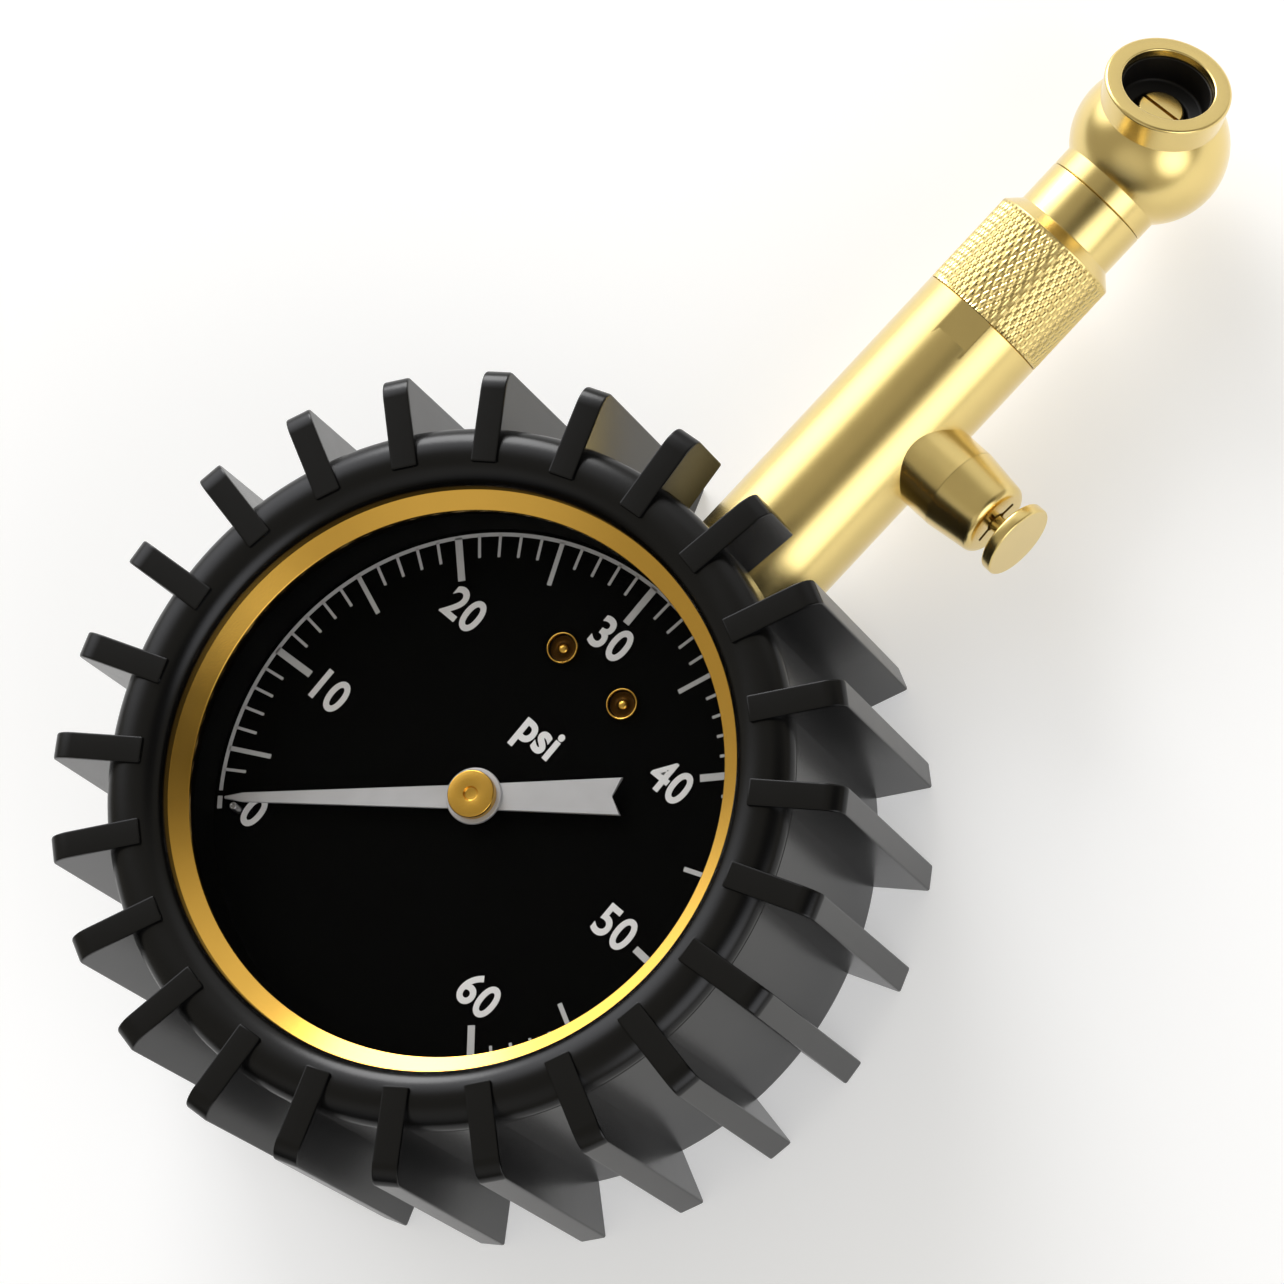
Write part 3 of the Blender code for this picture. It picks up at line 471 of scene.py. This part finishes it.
def lathe(name, profile, steps=96, matrix=UPRIGHT, swell=None):
    """A closed turned solid about local Z. A swell function may add to a point's radius, from the
    step and the row that it is on."""
    solid = bmesh.new()
    loops = []
    for row, (r, z) in enumerate(profile):
        if r < 1e-6:
            loops.append([solid.verts.new((0.0, 0.0, z * MM))])
            continue
        loop = []
        for i in range(steps):
            angle = 2 * pi * i / steps
            reach = (r + (swell(i, row) if swell else 0.0)) * MM
            loop.append(solid.verts.new((reach * cos(angle), reach * sin(angle), z * MM)))
        loops.append(loop)
    pairs = list(zip(loops, loops[1:]))
    if len(loops[0]) > 1:
        pairs.append((loops[-1], loops[0]))
    for upper, lower in pairs:
        if len(upper) == len(lower):
            skin(solid, upper, lower)
            continue
        for i in range(steps):
            j = (i + 1) % steps
            if len(upper) == 1:
                solid.faces.new((upper[0], lower[j], lower[i]))
            else:
                solid.faces.new((upper[i], upper[j], lower[0]))
    return new_object(name, solid, matrix)


def coil_spring(node, radius, thickness, start, end, matrix, joint):
    """A coil spring in place of a CAD node. The joint is not used."""
    solid = bmesh.new()
    loops = []
    count = SPRING_TURNS * SPRING_STEPS
    for i in range(count + 1):
        angle = 2 * pi * i / SPRING_STEPS
        height = start + (end - start) * i / count
        loop = []
        for j in range(SPRING_SIDES):
            side = 2 * pi * j / SPRING_SIDES
            reach = (radius + thickness / 2 * cos(side)) * MM
            rise = (height + thickness / 2 * sin(side)) * MM
            loop.append(solid.verts.new((reach * cos(angle), reach * sin(angle), rise)))
        loops.append(loop)
    for first, second in zip(loops, loops[1:]):
        skin(solid, first, second)
    solid.faces.new(loops[0])
    solid.faces.new(loops[-1])
    made = piece(new_object(f"{node}_coil", solid, matrix), "spring_steel", "gauge", node)
    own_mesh(made)


def block(name, size, matrix):
    solid = bmesh.new()
    bmesh.ops.create_cube(solid, size=1.0)
    bmesh.ops.scale(solid, vec=Vector(size) * MM, verts=solid.verts)
    return new_object(name, solid, matrix)


def slab(solid, outline, bottom, top, edge=0.0):
    """Adds a flat plate with this outline to a bmesh. An edge rounds off its top edge."""
    lower = [solid.verts.new((x * MM, y * MM, bottom * MM)) for x, y in outline]
    upper = [solid.verts.new((x * MM, y * MM, top * MM)) for x, y in outline]
    solid.faces.new(lower[::-1])
    face = solid.faces.new(upper)
    skin(solid, lower, upper)
    if edge:
        soften(solid, list(face.edges), edge)


def soften(solid, edges, size):
    bmesh.ops.bevel(solid, geom=edges, offset=size * MM, segments=2, profile=0.5, affect='EDGES')


def merge(target, operation, other):
    """Cuts a piece with another, or joins the two, and keeps the result as its mesh."""
    modifier = target.modifiers.new("merge", 'BOOLEAN')
    modifier.operation = operation
    modifier.solver = 'EXACT'
    modifier.object = other
    graph = bpy.context.evaluated_depsgraph_get()
    mesh = bpy.data.meshes.new_from_object(target.evaluated_get(graph))
    target.modifiers.clear()
    target.data = mesh
    bpy.data.objects.remove(other, do_unlink=True)


def piece(made, finish, body, *nodes, slot=None, smooth=32.0):
    """Shades a finished piece, gives it its material and puts it on its CAD body. Nodes are the CAD
    nodes that it stands for, and edges sharper than smooth degrees stay sharp."""
    made.data.materials.clear()
    made.data.materials.append(MATERIALS[finish])
    made.data.polygons.foreach_set("use_smooth", [True] * len(made.data.polygons))
    made.data.set_sharp_from_angle(angle=radians(smooth))
    normals = made.modifiers.new("even_normals", 'WEIGHTED_NORMAL')
    normals.keep_sharp = True
    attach(made, body)
    if nodes:
        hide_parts(*nodes)
    return made


# ---- rubber boot -----------------------------------------------------------------------------
def lug(angle, back):
    """One plate-like lug: its side outline with a rounded front corner, and softened edges."""
    dr, dz = LUG_CORNER
    corner = arc((LUG_TIP_RADIUS - dr, LUG_FRONT_Z - dz), (dr, dz), 90.0, 0.0, 8)
    root = BOOT_RADIUS - LUG_ROOT_DEPTH
    outline = [(LUG_INNER_RADIUS, LUG_FRONT_Z), *corner, (LUG_TIP_RADIUS, back), (root, back),
               (root, CREASE_Z - 1.0), (LUG_INNER_RADIUS, CREASE_Z)]
    solid = bmesh.new()
    half = LUG_THICKNESS / 2
    sides = []
    for side in (-half, half):
        sides.append([solid.verts.new(Vector((r, side, z)) * MM) for r, z in outline])
    solid.faces.new(sides[0])
    solid.faces.new(sides[1][::-1])
    skin(solid, sides[1], sides[0])
    bmesh.ops.recalc_face_normals(solid, faces=solid.faces)
    sharp = [edge for edge in solid.edges if edge.calc_face_angle(0.0) > radians(30.0)]
    soften(solid, sharp, LUG_EDGE)
    return new_object("lug", solid, Matrix.Rotation(radians(90.0 - angle), 4, 'Z'))


def boot_profile():
    """From the pocket's floor up its wall, over the rim and down the outside, with a fine crease."""
    half = (BOOT_RADIUS - BEZEL_FACE_RADIUS) / 2
    rim_z = CREASE_Z + 0.15
    rim = arc((BOOT_RADIUS - half, rim_z), (half, RIM_TOP_Z - rim_z), 180.0, 0.0, 20)
    crease = [(BOOT_RADIUS, CREASE_Z + 0.05), (BOOT_RADIUS - 0.12, CREASE_Z - 0.03),
              (BOOT_RADIUS, CREASE_Z - 0.2)]
    wall = rows(crease[-1], (BOOT_RADIUS, BOOT_EDGE), 6)
    edge = arc((BOOT_RADIUS - BOOT_EDGE, BOOT_EDGE), (BOOT_EDGE, BOOT_EDGE), 0.0, -90.0, 4)
    pocket = BEZEL_RADIUS - 0.4
    groove = BEZEL_RADIUS + 0.15
    lip_z = BEZEL_Z + 0.1
    return [(0.0, BOOT_FLOOR), (pocket, BOOT_FLOOR), (pocket, POCKET_LEDGE_Z),
            (groove, POCKET_LEDGE_Z), (groove, lip_z), (BEZEL_FACE_RADIUS, lip_z), *rim, *crease,
            *wall, *edge, (0.0, 0.0)]


def rubber_boot():
    boot = lathe("boot_skin", boot_profile(), 192)
    start, end = WINDOW_Y
    middle = Vector((0, (start + end) / 2, (WINDOW_TOP_Z + BOOT_FLOOR) / 2)) * MM
    window = block("window", (2 * WINDOW_HALF_WIDTH, end - start, WINDOW_TOP_Z - BOOT_FLOOR),
                   Matrix.Translation(middle))
    merge(boot, 'DIFFERENCE', window)
    step = 360.0 / LUG_COUNT
    lugs = []
    for i in range(LUG_COUNT):
        beside_stem = i in (0, LUG_COUNT - 1)
        lugs.append(lug(step * (i + 0.5), SHORT_LUG_BACK_Z if beside_stem else 0.0))
    with bpy.context.temp_override(active_object=lugs[0], selected_editable_objects=lugs):
        bpy.ops.object.join()
    merge(boot, 'UNION', lugs[0])
    piece(boot, "boot_rubber", "gauge", "rubber_boot")


# ---- bezel, dial and pointer -----------------------------------------------------------------
def bezel():
    slope_z = BEZEL_Z - BEZEL_SLOPE
    lip_z = slope_z - BEZEL_LIP
    skirt = BEZEL_RADIUS - BEZEL_WALL
    back_z = low("bezel_ring", "z")
    profile = rounded([(BEZEL_FACE_RADIUS, BEZEL_Z, 0.12), (BEZEL_RADIUS, BEZEL_Z, 0.3),
                       (BEZEL_RADIUS, back_z, 0.0), (skirt, back_z, 0.0), (skirt, lip_z, 0.0),
                       (BEZEL_INNER_RADIUS, lip_z, 0.06), (BEZEL_INNER_RADIUS, slope_z, 0.12)])
    piece(lathe("bezel_turned", profile, 256), "bezel_gold", "gauge", "bezel_ring")


def scale_angle(psi):
    """The dial angle of a pressure, in degrees clockwise from the stem's direction."""
    return SCALE_ZERO + DEGREES_PER_PSI * psi


def on_dial(angle, radius):
    """The place on the dial at an angle clockwise from the stem's direction."""
    return radius * sin(radians(angle)), radius * cos(radians(angle))


def tick(solid, angle, inner, width):
    """A printed line from a radius out to the middle of the scale's arc."""
    along = Vector(on_dial(angle, 1.0))
    across = Vector((along.y, -along.x)) * width / 2
    corners = [along * inner - across, along * inner + across, along * ARC_RADIUS + across,
               along * ARC_RADIUS - across]
    slab(solid, [tuple(c) for c in reversed(corners)], DIAL_TOP_Z, DIAL_TOP_Z + PRINT_THICKNESS)


def band(solid, start, end, width, steps):
    """A printed stretch of the scale's arc."""
    inner, outer = ARC_RADIUS - width / 2, ARC_RADIUS + width / 2
    outline = [on_dial(start + (end - start) * i / steps, outer) for i in range(steps + 1)]
    outline += [on_dial(end - (end - start) * i / steps, inner) for i in range(steps + 1)]
    slab(solid, outline[::-1], DIAL_TOP_Z, DIAL_TOP_Z + PRINT_THICKNESS)


def dial_scale():
    solid = bmesh.new()
    band(solid, SCALE_START, scale_angle(SCALE_END_PSI), ARC_WIDTH, 120)
    for psi in range(FIRST_TICK_PSI, SCALE_END_PSI + 1):
        inner, width = next(shape for every, *shape in TICKS if psi % every == 0)
        tick(solid, scale_angle(psi), inner, width)
    band(solid, *DASH, DASH_WIDTH, 4)
    piece(new_object("dial_scale", solid), "dial_print", "gauge", slot="dial_black")


NUMERALS = (                 # number, angle and radius of its middle on the dial
    (10, -97.25, 17.5),
    (20, -49.9, 17.5),
    (30, -3.6, 18.3),
    (40, 43.1, 17.5),
    (50, 89.2, 17.5),
    (60, 134.4, 17.5),
    (0, -134.2, 20.9),
)
NUMERAL_HEIGHT = 3.05
NUMERAL_WEIGHT = 0.024       # how far the strokes are thickened, as a share of the font's size
UNIT_CENTRE = (0.13, 7.32)
UNIT_HEIGHT = 2.9
UNIT_WEIGHT = 0.034
LETTER_NARROWING = 0.9
LETTER_SPACING = 1.06
FONT_CAP_HEIGHT = 0.729      # of the built-in font, as a share of its size


def lettering(name, body, height, centre, weight):
    """Flat raised print. Its upright is the dial's, which is turned from the stem's direction."""
    data = bpy.data.curves.new(name, 'FONT')
    data.body = body
    data.align_x = 'CENTER'
    data.align_y = 'CENTER'
    data.size = height / FONT_CAP_HEIGHT * MM
    data.space_character = LETTER_SPACING
    data.offset = weight * data.size
    data.extrude = PRINT_THICKNESS / 2 * MM
    data.resolution_u = 6
    text = bpy.data.objects.new(name, data)
    bpy.context.scene.collection.objects.link(text)
    graph = bpy.context.evaluated_depsgraph_get()
    mesh = bpy.data.meshes.new_from_object(text.evaluated_get(graph))
    bpy.data.objects.remove(text, do_unlink=True)
    xs = [v.co.x for v in mesh.vertices]
    ys = [v.co.y for v in mesh.vertices]
    middle = Vector(((min(xs) + max(xs)) / 2, (min(ys) + max(ys)) / 2, 0.0))
    mesh.transform(Matrix.Diagonal((LETTER_NARROWING, 1.0, 1.0, 1.0)) @ Matrix.Translation(-middle))
    made = bpy.data.objects.new(name, mesh)
    bpy.context.scene.collection.objects.link(made)
    at = Vector((*centre, DIAL_TOP_Z + PRINT_THICKNESS / 2)) * MM
    made.matrix_world = Matrix.Translation(at) @ Matrix.Rotation(-radians(DIAL_TURN), 4, 'Z')
    piece(made, "numeral_print", "gauge", slot="dial_black")


def dial_numbers():
    for number, angle, radius in NUMERALS:
        lettering(f"numeral_{number}", str(number), NUMERAL_HEIGHT, on_dial(angle, radius),
                  NUMERAL_WEIGHT)
    lettering("unit_mark", "psi", UNIT_HEIGHT, UNIT_CENTRE, UNIT_WEIGHT)


def dial_screws():
    """Cup-headed brass screws: a bright rim, a hollow whose dark colour is painted shade, and a small
    domed middle.
    """
    head = DIAL_TOP_Z + 0.03
    profile = [(0.0, head + 0.4), *arc((0.0, head + 0.1), (0.48, 0.3), 80.0, 10.0, 5),
               (0.56, head + 0.06), (1.22, head + 0.06), (1.27, head + 0.5),
               *arc((1.35, head + 0.5), (0.08, 0.08), 160.0, 0.0, 5), (1.45, head), (0.6, head),
               (0.6, head - 2.0), (0.0, head - 2.0)]
    hollow = [(0.47, head + 0.2), *arc((0.85, head + 0.2), (0.35, 0.1), 180.0, 360.0, 8),
              (1.23, head + 0.4), (1.23, head + 0.08), (0.47, head + 0.08)]
    x, y = DIAL_SCREW
    for side, name in ((-1, "left"), (1, "right")):
        at = Matrix.Translation(Vector((side * x, y, 0)) * MM)
        piece(lathe(f"dial_screw_{name}_turned", profile, 48, at), "bezel_gold", "gauge",
              f"dial_screw_{name}", slot="satin_brass")
        # a dark piece in the hollow: painted shade inside the screw head
        piece(lathe(f"dial_screw_{name}_hollow", hollow, 48, at), "screw_hollow_shade", "gauge",
              slot="satin_brass")


def stop_pin():
    """A small pin with a hollow top, just past the pointer's tip at rest."""
    x, y = on_dial(-POINTER_REST - STOP_PIN_PAST, STOP_PIN_RADIUS)
    bottom, top = low("stop_pin", "z"), high("stop_pin", "z")
    profile = [(0.0, top - 0.25), (0.16, top - 0.25),
               *arc((0.25, top - 0.1), (0.1, 0.1), 180.0, 0.0, 6), (0.35, bottom), (0.0, bottom)]
    made = lathe("stop_pin_turned", profile, 24, Matrix.Translation(Vector((x, y, 0)) * MM))
    piece(made, "steel", "gauge", "stop_pin")


def pointer():
    """A long tapering blade with a swallow tail."""
    tail = POINTER_TAIL
    taper = POINTER_TIP - POINTER_TAPER
    outline = [(0.0, 1.1), (taper, 0.4), (POINTER_TIP, 0.1), (POINTER_TIP, -0.1), (taper, -0.4),
               (0.0, -1.1), (-tail, -1.68), (POINTER_NOTCH - tail, 0.0), (-tail, 1.68)]
    solid = bmesh.new()
    slab(solid, outline[::-1], low("pointer", "z"), high("pointer", "z"), 0.06)
    blade = new_object("pointer_blade", solid, Matrix.Rotation(radians(90.0 + POINTER_REST), 4, 'Z'))
    piece(blade, "pointer_silver", "pointer_set", "pointer", smooth=20.0)


def pointer_boss():
    bottom, top = low("pointer_boss", "z"), high("pointer_boss", "z")
    r = high("pointer_boss", "x")
    disc = rounded([(0.0, top, 0.0), (r, top, 0.12), (r, bottom, 0.0), (0.0, bottom, 0.0)])
    piece(lathe("boss_disc", disc, 64), "pointer_silver", "pointer_set", "pointer_boss")


def hub_cap():
    """A brass cap whose dimple stays just above the arbor's end."""
    bottom, top = low("hub_cap", "z"), high("hub_cap", "z")
    r = high("hub_cap", "x")
    dimple = 0.66
    dip = 0.8 * (top - high("pointer_arbor", "z"))
    crown = rounded([(0.0, top - dip, 0.0), (dimple - 0.08, top - dip, 0.1), (dimple, top, 0.05),
                     (r, top, 0.14), (r, bottom, 0.0), (0.0, bottom, 0.0)])
    piece(lathe("hub_cap_turned", crown, 64), "bezel_gold", "pointer_set", "hub_cap")


# ---- stem, bleed valve and knurled collar ----------------------------------------------------
def stem():
    """A turned bar with a side boss for the bleed valve, bored through, and a small wrench flat."""
    r = STEM_RADIUS
    y0, y1 = STEM_START, STEM_END
    shank, shank_end = SHANK_BORE
    passage, passage_end = PASSAGE
    wide, wide_start = COLLAR_BORE
    profile = [(r - 0.08, y1), (r, y1 - 0.08), *rows((r, y1 - 0.08), (r, y0 + 0.3), 16), (r, y0 + 0.3),
               (r - 0.3, y0), (shank, y0), (shank, shank_end), (passage, shank_end),
               (passage, passage_end), (wide, wide_start), (wide, y1)]
    body = lathe("stem_turned", profile, 128, ON_STEM)
    boss = lathe("boss", [(0.0, BLEED_SEAM_X), (BLEED_RADIUS, BLEED_SEAM_X), (BLEED_RADIUS, 3.5),
                          (0.0, 3.5)], 96, ON_BLEED)
    merge(body, 'UNION', boss)
    bore = lathe("bore", [(0.0, 12.0), (2.6, 12.0), (2.6, 0.0), (0.0, 0.0)], 48, ON_BLEED)
    merge(body, 'DIFFERENCE', bore)
    flat_end = y1 + 1.0
    flat_middle = Vector((0, (FLAT_START + flat_end) / 2, STEM_Z)) * MM
    turned = Matrix.Translation(flat_middle) @ Matrix.Rotation(FLAT_ANGLE, 4, 'Y')
    cut = 2.0
    reach = r * cos(FLAT_HALF_ANGLE) + cut / 2
    flat = block("flat", (2 * r, flat_end - FLAT_START, cut),
                 turned @ Matrix.Translation((0, 0, reach * MM)))
    merge(body, 'DIFFERENCE', flat)
    piece(body, "satin_brass", "gauge", "stem_body")


def bleed_valve_cap():
    """A tapered cap with a rounded, cross-slotted end."""
    x0, x1 = BLEED_SEAM_X + 0.03, BLEED_END_X
    profile = [(0.98, x1 - 0.12), (2.9, x1), *arc((2.85, x1 - 0.8), (0.8, 0.8), 82.0, 6.0, 8),
               *rows((3.64, x1 - 0.78), (BLEED_RADIUS, x0), 5), (BLEED_RADIUS, x0), (2.5, x0),
               (2.5, 5.8), (0.98, 5.8)]
    cap = lathe("bleed_cap_turned", profile, 96, ON_BLEED)
    for i in range(2):
        turn = Matrix.Rotation(pi / 2 * i, 4, 'Z')
        slot = block("slot", CAP_SLOT, ON_BLEED @ turn @ Matrix.Translation((0, 0, x1 * MM)))
        merge(cap, 'DIFFERENCE', slot)
    piece(cap, "satin_brass", "gauge", "bleed_valve_cap")


def bleed_button():
    """A rod with a flat disc, and the spring that returns it."""
    face = BUTTON_X
    button = rounded([(0.0, face, 0.0), (3.65, face, 0.2), (3.65, face - 1.15, 0.25),
                      (0.8, face - 1.15, 0.3), (0.72, 5.0, 0.0), (0.0, 5.0, 0.0)])
    piece(lathe("bleed_button_turned", button, 72, ON_BLEED), "satin_brass", "bleed_button",
          "bleed_button")
    coil_spring("bleed_spring", *BLEED_SPRING, ON_BLEED, "bleed_press")


def knurl_height(step, row):
    """The height of a mesh point against the plain collar: two sets of helical grooves, with
    flat-topped diamonds between them. Row counts along the knurled band."""
    cells = KNURL_CELLS
    left, right = (step + row) % cells, (step - row) % cells
    nearest = min(left, cells - left, right, cells - right)
    return -KNURL_DEPTH * max(1.0 - nearest / GROOVE_HALF_WIDTH, 0.0)


def collar():
    """The knurled collar with its neck, and the check valve's bore and spring inside."""
    length = KNURL_END - KNURL_START
    count = KNURLS_LONG * KNURL_CELLS
    r = STEM_RADIUS
    neck_end = SWIVEL_Y - 0.06
    spigot, spigot_end = SPIGOT
    inner = [(spigot, spigot_end), (spigot, neck_end)]
    neck = rounded([(spigot, neck_end, 0.0), (NECK_RADIUS, neck_end, 0.08),
                    (NECK_RADIUS, NECK_START, 0.15), (r, KNURL_END + 0.12, 0.06),
                    (r, KNURL_START, 0.0)])[1:-1]
    first = len(inner) + len(neck)
    band_rows = [(r, KNURL_END - length * i / count) for i in range(count + 1)]
    thread, thread_start = THREAD
    bore, bore_end = VALVE_BORE
    outlet, outlet_start = OUTLET
    profile = [*inner, *neck, *band_rows, (thread, KNURL_START), (thread, thread_start),
               (bore, thread_start), (bore, bore_end), (outlet, outlet_start), (outlet, spigot_end)]

    def swell(step, row):
        along = row - first
        return knurl_height(step, along) if 0 < along < count else 0.0

    made = lathe("collar_turned", profile, KNURLS_ROUND * KNURL_CELLS, ON_STEM, swell)
    piece(made, "satin_brass", "gauge", "knurled_collar", smooth=20.0)
    coil_spring("check_valve_spring", *CHECK_SPRING, ON_STEM, "check_poppet_slide")


# ---- swivel head -----------------------------------------------------------------------------
def ball_head():
    """The ball, down to the neck that continues the collar's."""
    neck = NECK_RADIUS
    junction = degrees(asin(neck / BALL_RADIUS))
    sphere = arc((0.0, BALL_Y), (BALL_RADIUS, BALL_RADIUS), 90.0, -90.0 + junction, 48)
    sphere[0] = (0.0, sphere[0][1])
    profile = [*sphere, (neck, SWIVEL_Y + 0.08), (neck - 0.08, SWIVEL_Y), (3.5, SWIVEL_Y),
               (3.5, 83.0), (0.0, 84.0)]
    ball = lathe("ball_turned", profile, 128, ON_STEM)
    bore = lathe("bore", [(0.0, 9.0), (4.9, 9.0), (4.9, 2.3), (0.0, 2.3)], 64, ON_CHUCK)
    merge(ball, 'DIFFERENCE', bore)
    piece(ball, "satin_brass", "swivel_head", "ball_head")


def chuck_nozzle():
    """The mouth's ring: a flat lip and a skirt that goes into the ball."""
    lip = MOUTH_DISTANCE
    skirt = lip - 2.75
    ring = rounded([(MOUTH_BORE, lip, 0.18), (MOUTH_RADIUS, lip, 0.28), (MOUTH_RADIUS - 0.2, skirt, 0.0),
                    (4.8, skirt + 0.1, 0.0), (4.6, CHUCK_FLOOR, 0.0), (MOUTH_BORE, CHUCK_FLOOR, 0.0)])
    piece(lathe("nozzle_turned", ring, 128, ON_CHUCK), "satin_brass", "swivel_head", "chuck_nozzle")


def chuck_seal():
    """A rubber ring round the depressor, with a thin sleeve up the mouth's bore."""
    outer = MOUTH_BORE - 0.04
    bottom = CHUCK_FLOOR + 0.05
    sleeve_top = MOUTH_DISTANCE - 0.9
    seal = rounded([(outer, sleeve_top, 0.0), (outer, bottom, 0.0), (2.5, bottom, 0.0), (2.5, 4.1, 0.3),
                    (outer - 0.25, 4.3, 0.3), (outer - 0.16, sleeve_top, 0.06)])
    piece(lathe("seal_moulded", seal, 64, ON_CHUCK), "seal_rubber", "swivel_head", "chuck_seal")


def core_depressor():
    """The slotted pin that opens the tyre's valve."""
    profile = rounded([(0.0, PIN_TOP, 0.0), (2.1, PIN_TOP, 0.22), (2.1, CHUCK_FLOOR, 0.0),
                       (1.0, CHUCK_FLOOR, 0.0), (1.0, 1.2, 0.0), (0.0, 1.2, 0.0)])
    pin = lathe("depressor_turned", profile, 64, ON_CHUCK)
    slot = block("slot", (6.0, 0.36, 2.0), ON_CHUCK @ Matrix.Rotation(SLOT_TURN, 4, 'Z')
                 @ Matrix.Translation((0, 0, PIN_TOP * MM)))
    merge(pin, 'DIFFERENCE', slot)
    piece(pin, "satin_brass", "swivel_head", "core_depressor")


# ---- CAD nodes that keep their shape ---------------------------------------------------------
def finish_cad_nodes():
    """Gives every CAD node its material, by its slot in the record. The case is black, because the photo
    shows only black in the gap over the stem: a black paint that also stands in for the shade in that
    gap."""
    for part in frame["record"]["subparts"]:
        node = frame["nodes"][part["node"]]
        for slot in node.material_slots:
            slot.material = MATERIALS[part["material_slot"]]
    for slot in frame["nodes"]["case"].material_slots:
        slot.material = MATERIALS["case_black_and_gap_shade"]


camera()
sky()
key_light()
floor()
MATERIALS = materials()
finish_cad_nodes()
rubber_boot()
bezel()
dial_scale()
dial_numbers()
dial_screws()
stop_pin()
pointer()
pointer_boss()
hub_cap()
stem()
bleed_valve_cap()
bleed_button()
collar()
ball_head()
chuck_nozzle()
chuck_seal()
core_depressor()
bpy.context.scene.view_settings.view_transform = 'Standard'
